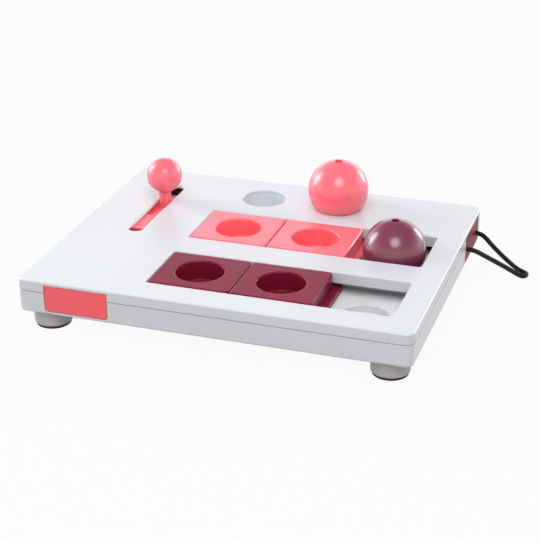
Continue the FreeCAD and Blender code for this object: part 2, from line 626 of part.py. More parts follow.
def lever_drawer():
    """The drawer with the treat tray in front and the lever's pocket at the rear."""
    half = LEVER_BODY_WIDTH / 2
    wall = LEVER_TRAY_WALL
    inside = half - wall
    end = LEVER_DRAWER_LENGTH
    roof = DRAWER_TOP - wall
    tray_top = DRAWER_TOP - LEVER_TRAY_DROP
    tray = box((-half, half), (PANEL_THICKNESS, PLATE_START), (DRAWER_BOTTOM, tray_top))
    body = box((-half, half), (PLATE_START, end), (DRAWER_BOTTOM, DRAWER_TOP))
    split = PANEL_THICKNESS + TREAT_TRAY_LENGTH
    tray_z = (DRAWER_BOTTOM + TRAY_FLOOR, DRAWER_TOP)
    pocket_half = POCKET_WIDTH / 2
    pocket = rounded_block((-pocket_half, pocket_half), (POCKET_START, end + 2 * POCKET_CORNER),
                           (POCKET_FLOOR, DRAWER_TOP), POCKET_CORNER)
    lever_y = LEVER_Y + REAR
    room_y = (PLATE_START + wall, end - wall)
    low_room = box((-inside, inside), room_y, (DRAWER_BOTTOM, LEVER_PLATE_BOTTOM))
    high_room = box((-inside, inside), room_y, (LEVER_PLATE_BOTTOM, roof))
    pocket_shell = box((-pocket_half - wall, pocket_half + wall), (POCKET_START - wall, end),
                       (LEVER_PLATE_BOTTOM, roof))
    drawer = drawer_panel(FLOOR).fuse([tray, body])
    drawer = drawer.cut([
        rounded_block((-inside, inside), (PANEL_THICKNESS, split), tray_z, TRAY_CORNER),
        rounded_block((-inside, inside), (split + wall, PLATE_START), tray_z, TRAY_CORNER),
        pocket,
        low_room,
        high_room.cut(pocket_shell),
    ])
    boss_z = (LEVER_PLATE_BOTTOM - LEVER_BOSS_HEIGHT, LEVER_PLATE_BOTTOM + wall / 2)
    drawer = drawer.fuse(cylinder(0, lever_y, boss_z, LEVER_BOSS_RADIUS))
    drawer = drawer.cut(cylinder(0, lever_y, (DRAWER_BOTTOM, POCKET_FLOOR), SCREW_HOLE_RADIUS))
    return in_front_wall(drawer.removeSplitter())


def lever_knob():
    """The ball on its stem, turned about the stem's axis, with the pilot hole for its screw."""
    centre = POCKET_FLOOR + BALL_LIFT
    join = math.sqrt(BALL_RADIUS ** 2 - STEM_RADIUS ** 2)
    stem = cylinder(0, 0, (POCKET_FLOOR, centre - join / 2), STEM_RADIUS)
    ball = Part.makeSphere(BALL_RADIUS, Vector(0, 0, centre))
    knob = ball.fuse(stem)
    neck = level_edges(knob, centre - join, (-BALL_RADIUS / 2, BALL_RADIUS / 2))
    knob = knob.makeFillet(NECK_RADIUS, neck)
    pilot_top = POCKET_FLOOR + LEVER_SCREW_BITE + SCREW_END_GAP
    pilot = cylinder(0, 0, (POCKET_FLOOR, pilot_top), SCREW_RADIUS + SCREW_GAP)
    return knob.cut(pilot).translated(Vector(LEVER_X, LEVER_Y, 0))


def screw(x, y, seat, length):
    """A pan-head screw that points up from the seat under its head."""
    head = cylinder(0, 0, (-SCREW_HEAD_HEIGHT, 0), SCREW_HEAD_RADIUS)
    head = head.makeFillet(SCREW_HEAD_EDGE, level_edges(head, -SCREW_HEAD_HEIGHT))
    shank = cylinder(0, 0, (0, length), SCREW_RADIUS)
    shank = shank.makeChamfer(SCREW_POINT, level_edges(shank, length))
    along = (-SCREW_CROSS_LENGTH / 2, SCREW_CROSS_LENGTH / 2)
    across = (-SCREW_CROSS_WIDTH / 2, SCREW_CROSS_WIDTH / 2)
    deep = (-SCREW_HEAD_HEIGHT, -SCREW_HEAD_HEIGHT + SCREW_CROSS_DEPTH)
    body = head.fuse(shank).cut([box(along, across, deep), box(across, along, deep)])
    return body.removeSplitter().translated(Vector(x, y, seat))


def lever_screw():
    """The screw that holds the lever knob from under its pocket."""
    seat = LEVER_PLATE_BOTTOM - LEVER_BOSS_HEIGHT
    return screw(LEVER_X, LEVER_Y, seat, POCKET_FLOOR - seat + LEVER_SCREW_BITE)


def housing_screws():
    """The screws that hold the two halves of the housing together, all alike but the middle one."""
    seat = UNDERSIDE + COUNTERBORE_DEPTH
    rim = [screw(x, y, seat, SEAT - seat + SCREW_BITE) for x, y in RIM_SCREWS]
    bar = screw(*BAR_SCREW, seat, DECK - seat + SCREW_BITE)
    return Part.makeCompound(rim + [bar])


def pull_drawer():
    """The short drawer with two cord holes in its front and an ear at each rear corner."""
    half = PULL_BODY_WIDTH / 2
    inside = half - PULL_TRAY_WALL
    end = PULL_DRAWER_LENGTH
    body_z = (DRAWER_BOTTOM, DRAWER_TOP - PULL_TRAY_DROP)
    body = box((-half, half), (PANEL_THICKNESS, end), body_z)
    ears = box((-half - EAR_REACH, half + EAR_REACH), (end - EAR_LENGTH, end),
               (DRAWER_BOTTOM, DRAWER_BOTTOM + GUIDE_HEIGHT))
    drawer = drawer_panel(FLOOR - PULL_SILL_DROP).fuse([body, ears])
    hollow = rounded_block((-inside, inside), (PANEL_THICKNESS, end - PULL_TRAY_WALL),
                           (DRAWER_BOTTOM + TRAY_FLOOR, DRAWER_TOP), TRAY_CORNER)
    holes = [hollow]
    for side in (-1, 1):
        mouth = Vector(side * CORD_HOLE_SPACING / 2, 0, CORD_HOLE_Z)
        holes.append(Part.makeCylinder(CORD_HOLE_RADIUS, PANEL_THICKNESS, mouth, Vector(0, 1, 0)))
    return in_right_wall(drawer.cut(holes).removeSplitter())


def cord_route():
    """All the points of the cord, from one knot round the loop to the other."""
    half = [Vector(RIGHT + out, REAR_ROW_Y + width, z) for out, width, z in CORD_HALF_ROUTE]
    mirrored = [Vector(point.x, 2 * REAR_ROW_Y - point.y, point.z) for point in reversed(half)]
    return half + mirrored


def pull_cord():
    """The cord loop as a plain tube: straight runs joined by tangent arcs."""
    points = cord_route()
    edges = []
    radii = []
    last = points[0]
    for before, here, after in zip(points, points[1:], points[2:]):
        back = before - here
        ahead = after - here
        turn = math.pi - back.getAngle(ahead)
        trim = CORD_BEND_SHARE * min(back.Length, ahead.Length)
        back.normalize()
        ahead.normalize()
        radii.append(trim / math.tan(turn / 2))
        start = here + back * trim
        finish = here + ahead * trim
        towards = (back + ahead).normalize()
        rise = radii[-1] / math.cos(turn / 2) - radii[-1]
        edges.append(Part.LineSegment(last, start).toShape())
        edges.append(Part.Arc(start, here + towards * rise, finish).toShape())
        last = finish
    edges.append(Part.LineSegment(last, points[-1]).toShape())
    path = Part.Wire(edges)
    section = Part.Wire(Part.makeCircle(CORD_DIAMETER / 2, points[0], points[1] - points[0]))
    tube = path.makePipeShell([section], True, True)
    plain_volume = math.pi * CORD_DIAMETER ** 2 / 4 * path.Length
    print("cord length", round(path.Length, 1), "volume ratio", round(tube.Volume / plain_volume, 4))
    print("cord radii", [round(radius, 1) for radius in radii])
    return tube


def cord_knots():
    """The two stopper knots behind the panel, each a turned ball, flat where the cord leaves it."""
    flat = math.sqrt(KNOT_RADIUS ** 2 - KNOT_FACE_RADIUS ** 2)
    half_way = KNOT_RADIUS * math.sqrt(0.5)
    centre = RIGHT + CORD_HALF_ROUTE[0][0] - flat
    pole = Vector(-KNOT_RADIUS, 0, 0)
    edge = Vector(flat, 0, KNOT_FACE_RADIUS)
    middle = Vector(flat, 0, 0)
    outline = Part.Wire([
        Part.Arc(pole, Vector(-half_way, 0, half_way), edge).toShape(),
        Part.LineSegment(edge, middle).toShape(),
        Part.LineSegment(middle, pole).toShape(),
    ])
    knot = Part.Face(outline).revolve(Vector(0, 0, 0), Vector(1, 0, 0), 360)
    spots = [REAR_ROW_Y + side * CORD_HOLE_SPACING / 2 for side in (-1, 1)]
    return Part.makeCompound([knot.translated(Vector(centre, y, CORD_HOLE_Z)) for y in spots])


def foot(x, y):
    """A round foot with a spigot for the floor, cored from above and recessed for its pad."""
    body = cylinder(x, y, (PAD_PROUD, UNDERSIDE), FOOT_RADIUS)
    body = body.makeFillet(FOOT_EDGE_RADIUS, level_edges(body, PAD_PROUD))
    body = body.fuse(cylinder(x, y, (PAD_PROUD + PAD_SEAT_DEPTH, FLOOR), SPIGOT_RADIUS))
    core = cylinder(x, y, (FOOT_FLOOR + PAD_PROUD, UNDERSIDE), FOOT_CORE_OUTER)
    core = core.cut(cylinder(x, y, (FOOT_FLOOR + PAD_PROUD, UNDERSIDE), FOOT_CORE_INNER))
    seat = cylinder(x, y, (PAD_PROUD, PAD_PROUD + PAD_SEAT_DEPTH), PAD_RADIUS + PAD_GAP)
    return body.cut([core, seat]).removeSplitter()


def foot_pad(x, y):
    """The rubber disc in the bottom of a foot."""
    pad = cylinder(x, y, (0, PAD_PROUD + PAD_SEAT_DEPTH), PAD_RADIUS)
    return pad.makeChamfer(PAD_CHAMFER, level_edges(pad, 0))


def all_parts():
    """Every sub-part by name."""
    parts = {
        "base_shell": base_shell(),
        "floor_ribs": floor_ribs(),
        "well_deck": well_deck(),
        "top_cover": top_cover(),
        "cover_rim": cover_rim(),
        "cover_posts": cover_posts(),
        "channel_wall_front": channel_wall(FRONT_CHANNEL_Y),
        "channel_wall_rear": channel_wall(REAR_CHANNEL_Y),
        "treat_cup_left": treat_cup(CELL_X[0]),
        "treat_cup_middle": treat_cup(CELL_X[1]),
        "dome_pink": dome(CELL_X[1], REAR_ROW_Y, TOP),
        "dome_plum": dome(CELL_X[2], REAR_CHANNEL_Y, DECK),
        "lever_drawer": lever_drawer(),
        "lever_knob": lever_knob(),
        "lever_screw": lever_screw(),
        "pull_drawer": pull_drawer(),
        "pull_cord": pull_cord(),
        "cord_knots": cord_knots(),
        "housing_screws": housing_screws(),
    }
    for colour, y in (("plum", FRONT_CHANNEL_Y), ("pink", REAR_CHANNEL_Y)):
        for side, x in (("left", CELL_X[0]), ("right", CELL_X[1])):
            parts[f"tile_{colour}_{side}"] = slider_tile(x, y)
    for corner, (x, y) in FOOT_SPOTS.items():
        parts[f"foot_{corner}"] = foot(x, y)
        parts[f"foot_pad_{corner}"] = foot_pad(x, y)
    return parts


os.makedirs("parts", exist_ok=True)
for name, shape in all_parts().items():
    if not shape.isValid():
        raise ValueError(f"{name} is not a valid solid")
    shape.exportStep(f"parts/{name}.step")
    print(name, len(shape.Solids), "solids", round(shape.Volume), "mm3")
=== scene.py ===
import logging
import math
from collections.abc import Mapping, Sequence
from dataclasses import dataclass
from enum import Enum
from typing import ClassVar

import bmesh
import bpy
from bpy.types import Material, Mesh, Node, NodeSocket, NodeTree, Object
from mathutils import Matrix, Vector
from mathutils.geometry import tessellate_polygon


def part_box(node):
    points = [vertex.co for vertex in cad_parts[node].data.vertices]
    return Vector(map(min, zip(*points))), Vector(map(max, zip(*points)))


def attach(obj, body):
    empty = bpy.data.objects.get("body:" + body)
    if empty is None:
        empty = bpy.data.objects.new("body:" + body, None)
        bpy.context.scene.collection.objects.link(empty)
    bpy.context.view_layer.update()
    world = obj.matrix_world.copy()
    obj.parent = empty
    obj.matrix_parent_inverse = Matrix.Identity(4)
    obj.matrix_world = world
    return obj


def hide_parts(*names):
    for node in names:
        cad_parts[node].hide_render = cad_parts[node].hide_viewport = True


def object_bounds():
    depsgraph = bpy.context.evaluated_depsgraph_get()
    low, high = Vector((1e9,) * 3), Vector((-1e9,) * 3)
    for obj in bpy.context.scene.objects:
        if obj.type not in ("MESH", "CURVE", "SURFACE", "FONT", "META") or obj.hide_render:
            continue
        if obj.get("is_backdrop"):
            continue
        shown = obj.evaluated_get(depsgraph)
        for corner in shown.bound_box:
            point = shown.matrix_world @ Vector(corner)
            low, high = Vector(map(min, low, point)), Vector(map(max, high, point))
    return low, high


# The looks of the cat puzzle board. Sizes are millimetres until a piece is placed, X runs to the right,
# Y to the rear and Z up from the ground, and the origin is below the middle of the board.
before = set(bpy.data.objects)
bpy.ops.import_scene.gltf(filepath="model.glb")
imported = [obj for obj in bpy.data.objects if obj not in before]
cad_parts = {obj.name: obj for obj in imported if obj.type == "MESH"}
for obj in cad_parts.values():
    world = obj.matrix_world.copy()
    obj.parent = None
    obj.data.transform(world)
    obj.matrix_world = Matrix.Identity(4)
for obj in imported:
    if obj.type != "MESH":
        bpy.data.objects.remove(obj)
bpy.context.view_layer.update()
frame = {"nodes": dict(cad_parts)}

logger = logging.getLogger("puzzle_board")

MM = 0.001
MERGE = 1e-4
SHARP_ANGLE = math.radians(38)
FLAT_ANGLE = math.radians(0.02)
THROUGH = 1.0

Pair = tuple[float, float]
Triple = tuple[float, float, float]
Colour = tuple[float, float, float, float]
Profile = Sequence[Pair]
Feed = NodeSocket | Sequence[float] | float


class Body(Enum):
    """The moving groups that pieces ride on."""

    BOARD = "board"
    LEVER_SLIDE = "lever_slide"
    CORD_DRAWER = "cord_drawer"
    PINK_DOME = "pink_dome"
    PLUM_DOME = "plum_dome"
    PLUM_TILE_LEFT = "plum_tile_left"
    PLUM_TILE_RIGHT = "plum_tile_right"
    PINK_TILE_LEFT = "pink_tile_left"
    PINK_TILE_RIGHT = "pink_tile_right"


class Mix(Enum):
    """How one solid acts on another."""

    JOIN = "UNION"
    CUT = "DIFFERENCE"


def span(node: str) -> tuple[Vector, Vector]:
    """Reads where a construction node lies at rest.

    Args:
        node: The node's name.

    Returns:
        Its lowest and highest corner, in millimetres.
    """
    low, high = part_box(node)
    return low / MM, high / MM


def middle(node: str) -> Pair:
    """Finds the middle of a construction node as seen from above."""
    low, high = span(node)
    return (low.x + high.x) / 2, (low.y + high.y) / 2


def linear(colour: str) -> Colour:
    """Turns an sRGB hex colour into the linear colour that shaders take.

    Args:
        colour: Six hex digits after a hash sign.

    Returns:
        Red, green, blue and an alpha of 1.
    """
    channels = [int(colour[place:place + 2], 16) / 255 for place in (1, 3, 5)]
    levels = [c / 12.92 if c <= 0.04045 else ((c + 0.055) / 1.055) ** 2.4 for c in channels]
    return levels[0], levels[1], levels[2], 1.0


def arc(centre: Pair, radius: float, start: float, end: float, steps: int = 6) -> list[Pair]:
    """Points on a circular arc of a profile.

    Args:
        centre: The arc's centre, outwards and up.
        radius: Its radius.
        start: Direction of its first point in degrees, 0 outwards and 90 up.
        end: Direction of its last point in degrees.
        steps: Number of straight pieces.

    Returns:
        The points, both ends included.
    """
    turns = [math.radians(start + (end - start) * step / steps) for step in range(steps + 1)]
    return [(centre[0] + radius * math.cos(t), centre[1] + radius * math.sin(t)) for t in turns]


@dataclass(frozen=True)
class Plan:
    """A closed outline seen from above: a rectangle with round corners, a slot or a circle.

    Attributes:
        low: Left front corner of the rectangle.
        high: Right rear corner of the rectangle.
        radii: Corner radii, from the right front one round by the rear to the left front one.
        steps: Straight pieces in each corner.
    """

    low: Pair
    high: Pair
    radii: tuple[float, float, float, float]
    steps: int = 10

    @classmethod
    def block(cls, low: Pair, high: Pair, radius: float, steps: int = 10) -> "Plan":
        """A rectangle whose corners are alike."""
        return cls(low, high, (radius,) * 4, steps)

    @classmethod
    def circle(cls, centre: Pair, radius: float, steps: int = 24) -> "Plan":
        """A circle about a centre."""
        low = (centre[0] - radius, centre[1] - radius)
        return cls(low, (centre[0] + radius, centre[1] + radius), (radius,) * 4, steps)

    def points(self, grow: float) -> list[Pair]:
        """Walks round the outline.

        Args:
            grow: How far outside the outline the points lie; inside it where this is negative.

        Returns:
            As many points for any growth, anticlockwise.
        """
        size = (self.high[0] - self.low[0], self.high[1] - self.low[1])
        corners = [
            (self.high[0], self.low[1], 1, -1, -90, size[1]),
            (self.high[0], self.high[1], 1, 1, 0, size[0]),
            (self.low[0], self.high[1], -1, 1, 90, size[1]),
            (self.low[0], self.low[1], -1, -1, 180, size[0]),
        ]
        points = []
        for index, (x, y, right, rear, start, side) in enumerate(corners):
            radius = self.radii[index]
            straight = side - radius - self.radii[(index + 1) % 4]
            reach = max(radius + grow, 0.0)
            sharp = min(radius + grow, 0.0)
            centre = (x + right * (sharp - radius), y + rear * (sharp - radius))
            ring = arc(centre, reach, start, start + 90, self.steps)
            points += ring if straight > MERGE else ring[:-1]
        return points


class Moulding:
    """Rings of points and the faces between them, which together close up into one solid."""

    def __init__(self) -> None:
        """Starts with no points."""
        self.points: list[Triple] = []
        self.faces: list[tuple[int, ...]] = []

    def wall(self, plan: Plan, profile: Profile) -> tuple[list[int], list[int]]:
        """Sweeps a profile round an outline.

        Args:
            plan: The outline.
            profile: Growth of the outline and height at each ring.

        Returns:
            The first ring and the last.
        """
        rings = []
        for grow, height in profile:
            first = len(self.points)
            self.points += [(x, y, height) for x, y in plan.points(grow)]
            rings.append(list(range(first, len(self.points))))
        self.skin(rings, rings[1:])
        return rings[0], rings[-1]

    def skin(self, rings: Sequence[Sequence[int]], others: Sequence[Sequence[int]]) -> None:
        """Spans faces from each ring to the other ring that goes with it."""
        for ring, other in zip(rings, others):
            for here, there in zip(range(-1, len(ring) - 1), range(len(ring))):
                self.faces.append((ring[here], ring[there], other[there], other[here]))

    def cap(self, outer: Sequence[int], holes: Sequence[Sequence[int]] = ()) -> None:
        """Closes a ring with a flat face, around any holes in it."""
        loops = []
        for ring in (outer, *holes):
            spots = [Vector(self.points[index]) for index in ring]
            loops.append([index for index, spot, before in zip(ring, spots, spots[-1:] + spots[:-1])
                          if (spot - before).length > MERGE])
        order = [index for loop in loops for index in loop]
        outlines = [[Vector(self.points[index]) for index in loop] for loop in loops]
        self.faces += [tuple(order[corner] for corner in face) for face in tessellate_polygon(outlines)]

    def close(self, ends: Sequence[Sequence[int]], openings: Sequence[tuple[Plan, Profile]]) -> None:
        """Closes both ends of a wall flat, with openings that go right through.

        Args:
            ends: The wall's two end rings.
            openings: Outline and profile of each opening, from the first end to the second.
        """
        walls = [self.wall(plan, profile) for plan, profile in openings]
        for end, holes in zip(ends, zip(*walls)):
            self.cap(end, holes)


class Solid:
    """A closed mesh in millimetres that can be joined to others, cut by them and placed."""

    def __init__(self, mesh: Mesh) -> None:
        """Takes over a mesh, with its doubled points merged and its faces turned outwards."""
        self.mesh = mesh
        shape = bmesh.new()
        shape.from_mesh(mesh)
        bmesh.ops.remove_doubles(shape, verts=shape.verts, dist=MERGE)
        bmesh.ops.dissolve_degenerate(shape, edges=shape.edges, dist=MERGE)
        bmesh.ops.recalc_face_normals(shape, faces=shape.faces)
        shape.to_mesh(mesh)
        shape.free()

    @classmethod
    def of(cls, moulding: Moulding) -> "Solid":
        """Makes a solid from rings and faces that close up."""
        mesh = bpy.data.meshes.new("solid")
        mesh.from_pydata(moulding.points, [], moulding.faces)
        return cls(mesh)

    @classmethod
    def swept(cls, plan: Plan, profile: Profile) -> "Solid":
        """Sweeps a profile round an outline and closes both ends flat."""
        moulding = Moulding()
        for ring in moulding.wall(plan, profile):
            moulding.cap(ring)
        return cls.of(moulding)

    @classmethod
    def block(cls, low: Sequence[float], high: Sequence[float], radius: float = 0.0) -> "Solid":
        """An upright block between two corners, with its upright edges rounded."""
        plan = Plan.block((low[0], low[1]), (high[0], high[1]), radius, 6 if radius else 1)
        return cls.swept(plan, [(0, low[2]), (0, high[2])])

    @classmethod
    def turned(cls, centre: Pair, outline: Profile, steps: int = 24) -> "Solid":
        """Turns a closed outline about an upright axis.

        Args:
            centre: Where the axis stands.
            outline: Radius and height at each point; a radius of 0 is on the axis.
            steps: Straight pieces in each quarter turn.

        Returns:
            The solid of revolution.
        """
        moulding = Moulding()
        rings = [(radius - 1, height) for radius, height in outline]
        on_axis = min(outline[0][0], outline[-1][0]) <= 0
        moulding.wall(Plan.circle(centre, 1, steps), rings if on_axis else rings + rings[:1])
        return cls.of(moulding)

    def moved(self, matrix: Matrix) -> "Solid":
        """Places the solid by a matrix."""
        self.mesh.transform(matrix)
        return self

    def mixed(self, how: Mix, others: Sequence["Solid"]) -> "Solid":
        """Joins other solids to this one, or cuts them from it.

        Args:
            how: Whether to join or to cut.
            others: The solids that act, which are used up.

        Returns:
            The new solid.
        """
        target = bpy.data.objects.new("target", self.mesh)
        tools = [bpy.data.objects.new("tool", other.mesh) for other in others]
        for item in [target, *tools]:
            bpy.context.scene.collection.objects.link(item)
        for tool in tools:
            boolean = target.modifiers.new("mix", "BOOLEAN")
            boolean.operation = how.value
            boolean.solver = "MANIFOLD"
            boolean.object = tool
        view = bpy.context.evaluated_depsgraph_get()
        mesh = bpy.data.meshes.new_from_object(target.evaluated_get(view))
        for item in [target, *tools]:
            bpy.data.objects.remove(item)
        return Solid(mesh)

    def placed(self, name: str, finish: Material, body: Body, nodes: Sequence[str],
               slot: str) -> Object:
        """Makes the finished piece that stands for construction nodes.

        Args:
            name: The piece's name.
            finish: Its material.
            body: The moving group it rides on.
            nodes: The construction nodes it stands for.
            slot: The record's material slot; not used.

        Returns:
            The new object.
        """
        shape = bmesh.new()
        shape.from_mesh(self.mesh)
        bmesh.ops.dissolve_limit(shape, angle_limit=FLAT_ANGLE, verts=shape.verts, edges=shape.edges)
        for face in shape.faces:
            face.smooth = True
        for edge in shape.edges:
            edge.smooth = edge.calc_face_angle(0) < SHARP_ANGLE
        shape.to_mesh(self.mesh)
        shape.free()
        self.mesh.transform(Matrix.Scale(MM, 4))
        piece = bpy.data.objects.new(name, self.mesh)
        normals = piece.modifiers.new("flats", "WEIGHTED_NORMAL")
        normals.mode = "FACE_AREA_WITH_ANGLE"
        normals.keep_sharp = True
        bpy.context.scene.collection.objects.link(piece)
        self.mesh.materials.clear()
        self.mesh.materials.append(finish)
        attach(piece, body.value)
        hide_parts(*nodes)
        logger.info("%s: %d faces on %s", name, len(self.mesh.polygons), body.value)
        return piece


def add_node(tree: NodeTree, kind: str, inputs: Mapping[str | int, Feed] | None = None,
             **settings: str | bool) -> Node:
    """Adds a shader node to a tree with its values, links and settings.

    Args:
        tree: The node tree.
        kind: The node's type name, without the part that all shader nodes share.
        inputs: For each input, a value or the output socket that feeds it.
        **settings: Values for the node's own properties.

    Returns:
        The node.
    """
    node = tree.nodes.new(f"ShaderNode{kind}")
    for name, value in settings.items():
        setattr(node, name, value)
    for name, value in (inputs or {}).items():
        if isinstance(value, NodeSocket):
            tree.links.new(value, node.inputs[name])
        else:
            node.inputs[name].default_value = value
    return node


def start_material(name: str) -> tuple[Material, NodeTree]:
    """Makes a material whose node tree is still empty."""
    material = bpy.data.materials.new(name)
    material.use_nodes = True
    material.node_tree.nodes.clear()
    return material, material.node_tree


def add_noise(tree: NodeTree, width: float, detail: float, roughness: float = 0.5,
              distortion: float = 0.0) -> NodeSocket:
    """Adds noise that is fixed to the object, with blotches of a width in millimetres."""
    place = add_node(tree, "TexCoord").outputs["Object"]
    return add_node(tree, "TexNoise", {
        "Vector": place, "Scale": 1 / (width * MM), "Detail": detail, "Roughness": roughness,
        "Distortion": distortion}).outputs["Fac"]


def add_mix(tree: NodeTree, share: NodeSocket, low: Feed, high: Feed) -> NodeSocket:
    """Mixes two colours, the second by a share from 0 to 1."""
    return add_node(tree, "Mix", {"Factor": share, 6: low, 7: high}, data_type="RGBA").outputs[2]


def add_bump(tree: NodeTree, height: NodeSocket, depth: float,
             onto: NodeSocket | None = None) -> NodeSocket:
    """Adds relief of a depth in millimetres, on top of other relief where that is given."""
    inputs = {"Height": height, "Strength": 1.0, "Distance": depth * MM}
    if onto is not None:
        inputs["Normal"] = onto
    return add_node(tree, "Bump", inputs).outputs["Normal"]


@dataclass(frozen=True)
class MouldedABS:
    """Injection-moulded ABS: an even, coloured plastic with the fine grain of its steel mould.

    Attributes:
        streak: Width of a melt streak, in millimetres.
        patch: Width of a patch of wear, in millimetres.
        ripple: Width of a sink ripple, in millimetres.
        gloss_spread: How far wear changes the roughness either way, as a share of it.
        refraction: ABS's index of refraction.
        bleed: How far red, green and blue spread under the surface, as shares of the depth.
        name: The material's name.
        colour: Its sRGB colour.
        flow_colour: The slightly other colour along the streaks in which the melt flowed.
        roughness: Gloss of the polished or spark-eroded mould, from 0 to 1.
        grain: Width of one grain of the mould's texture, in millimetres.
        grain_depth: Depth of that texture, in millimetres.
        ripple_depth: Depth of the broad sink ripples that bend reflections, in millimetres.
        specular: Strength of the reflection, 0.5 for plain ABS.
        depth: How far light spreads under the surface, in millimetres.
    """

    streak: ClassVar[float] = 30.0
    patch: ClassVar[float] = 7.0
    ripple: ClassVar[float] = 14.0
    gloss_spread: ClassVar[float] = 0.12
    refraction: ClassVar[float] = 1.53
    bleed: ClassVar[Triple] = (1.0, 0.22, 0.27)

    name: str
    colour: str
    flow_colour: str
    roughness: float
    grain: float
    grain_depth: float
    ripple_depth: float
    specular: float = 0.5
    depth: float = 0.0

    def material(self) -> Material:
        """Builds the shader.

        Returns:
            The material.
        """
        material, tree = start_material(self.name)
        # Melt streaks about 30 mm wide, barely darker than the rest.
        flow = add_noise(tree, self.streak, 3.0, distortion=0.6)
        colour = add_mix(tree, flow, linear(self.colour), linear(self.flow_colour))
        # Handling leaves patches of about 7 mm a little duller or shinier.
        wear = add_noise(tree, self.patch, 4.0, 0.65)
        gloss = add_node(tree, "MapRange", {
            "Value": wear, "From Min": 0.3, "From Max": 0.7,
            "To Min": self.roughness * (1 - self.gloss_spread),
            "To Max": self.roughness * (1 + self.gloss_spread)})
        # Sink ripples over the ribs are about 14 mm from crest to crest.
        bent = add_bump(tree, add_noise(tree, self.ripple, 1.0), self.ripple_depth)
        grained = add_bump(tree, add_noise(tree, self.grain, 2.0, 0.6), self.grain_depth, bent)
        shader = add_node(tree, "BsdfPrincipled", {
            "Base Color": colour, "Roughness": gloss.outputs["Result"], "IOR": self.refraction,
            "Specular IOR Level": self.specular, "Normal": grained,
            "Subsurface Weight": 1.0 if self.depth else 0.0, "Subsurface Radius": self.bleed,
            "Subsurface Scale": self.depth * MM})
        add_node(tree, "OutputMaterial", {"Surface": shader.outputs["BSDF"]})
        return material


@dataclass(frozen=True)
class PlainFinish:
    """A finish of one colour with its own fine bump: rubber, plated steel or cord yarn.

    Attributes:
        name: The material's name.
        colour: Its sRGB colour.
        worn_colour: The colour of rubbed or dusty spots.
        roughness: From 0, a mirror, to 1, matt.
        metallic: 1 for bare metal.
        bump: Width of the surface's texture, in millimetres.
        bump_depth: Depth of that texture, in millimetres.
        specular: Strength of the reflection, 0.5 for plain plastic.
    """

    name: str
    colour: str
    worn_colour: str
    roughness: float
    metallic: float
    bump: float
    bump_depth: float
    specular: float = 0.5

    def material(self) -> Material:
        """Builds the shader.

        Returns:
            The material.
        """
        material, tree = start_material(self.name)
        noise = add_noise(tree, self.bump, 3.0)
        colour = add_mix(tree, noise, linear(self.colour), linear(self.worn_colour))
        shader = add_node(tree, "BsdfPrincipled", {
            "Base Color": colour, "Roughness": self.roughness, "Metallic": self.metallic,
            "Specular IOR Level": self.specular, "Normal": add_bump(tree, noise, self.bump_depth)})
        add_node(tree, "OutputMaterial", {"Surface": shader.outputs["BSDF"]})
        return material


@dataclass(frozen=True)
class Layout:
    """Levels and places that the pieces share, in millimetres.

    Attributes:
        skin: Thickness of the housing.
        lip: Height of the base's lip above the seam.
        rear_row_inset: From the rear edge to the middle of the rear row.
        lever_inset: From the left edge to the lever's slot.
        tile_length: Length of a tile's top.
        low: The board's left front corner.
        high: Its right rear corner.
        top: Level of the cover's top.
        underside: Level of the base's underside.
        seam: Level where the halves meet.
        floor: Level of the base's floor.
        deck: Level that the tiles slide on.
        cells: Middles of a channel's three cells, from left to right.
        plum_channel: Middle line of the front channel.
        pink_channel: Middle line of the rear channel.
    """

    skin: ClassVar[float] = 2.0
    lip: ClassVar[float] = 1.6
    rear_row_inset: ClassVar[float] = 30.6
    lever_inset: ClassVar[float] = 39.5
    tile_length: ClassVar[float] = 52.4

    low: Pair
    high: Pair
    top: float
    underside: float
    seam: float
    floor: float
    deck: float
    cells: Triple
    plum_channel: float
    pink_channel: float

    @classmethod
    def read(cls) -> "Layout":
        """Reads the levels and places from the construction nodes."""
        low, high = span("top_cover")
        base, deck = span("base_shell"), span("well_deck")
        first, second = (span(f"tile_pink_{side}")[0].x + cls.tile_length / 2 for side in ("left", "right"))
        return cls(
            low=(low.x, low.y), high=(high.x, high.y), top=high.z, underside=base[0].z,
            seam=base[1].z - cls.lip, floor=deck[0].z, deck=deck[1].z,
            cells=(first, second, 2 * second - first),
            plum_channel=middle("tile_plum_left")[1], pink_channel=middle("tile_pink_left")[1])

    @property
    def ceiling(self) -> float:
        """Level of the skin's underside."""
        return self.top - self.skin

    @property
    def rear_row(self) -> float:
        """Middle line of the rear row."""
        return self.high[1] - self.rear_row_inset

    @property
    def lever_x(self) -> float:
        """Middle line of the lever's slot."""
        return self.low[0] + self.lever_inset

    def front_wall(self) -> Matrix:
        """Places a drawer part, drawn with its front at y = 0, in the front wall."""
        return Matrix.Translation((self.lever_x, self.low[1], 0))

    def right_wall(self) -> Matrix:
        """Places a drawer part, drawn with its front at y = 0, in the right-hand wall."""
        turn = Matrix.Rotation(math.pi / 2, 4, "Z")
        return Matrix.Translation((self.high[0], self.rear_row, 0)) @ turn


def in_wall(low: Pair, high: Pair, radii: tuple[float, float, float, float], profile: Profile) -> Solid:
    """Sweeps a profile round an outline that stands upright in a wall.

    Args:
        low: Left lower corner of the outline.
        high: Right upper corner.
        radii: Radii of the right lower, right upper, left upper and left lower corners.
        profile: Growth of the outline and depth behind the wall's face at each ring.

    Returns:
        The solid, with the wall's face at y = 0.
    """
    rings = [(grow, -depth) for grow, depth in profile]
    return Solid.swept(Plan(low, high, radii), rings).moved(Matrix.Rotation(math.pi / 2, 4, "X"))


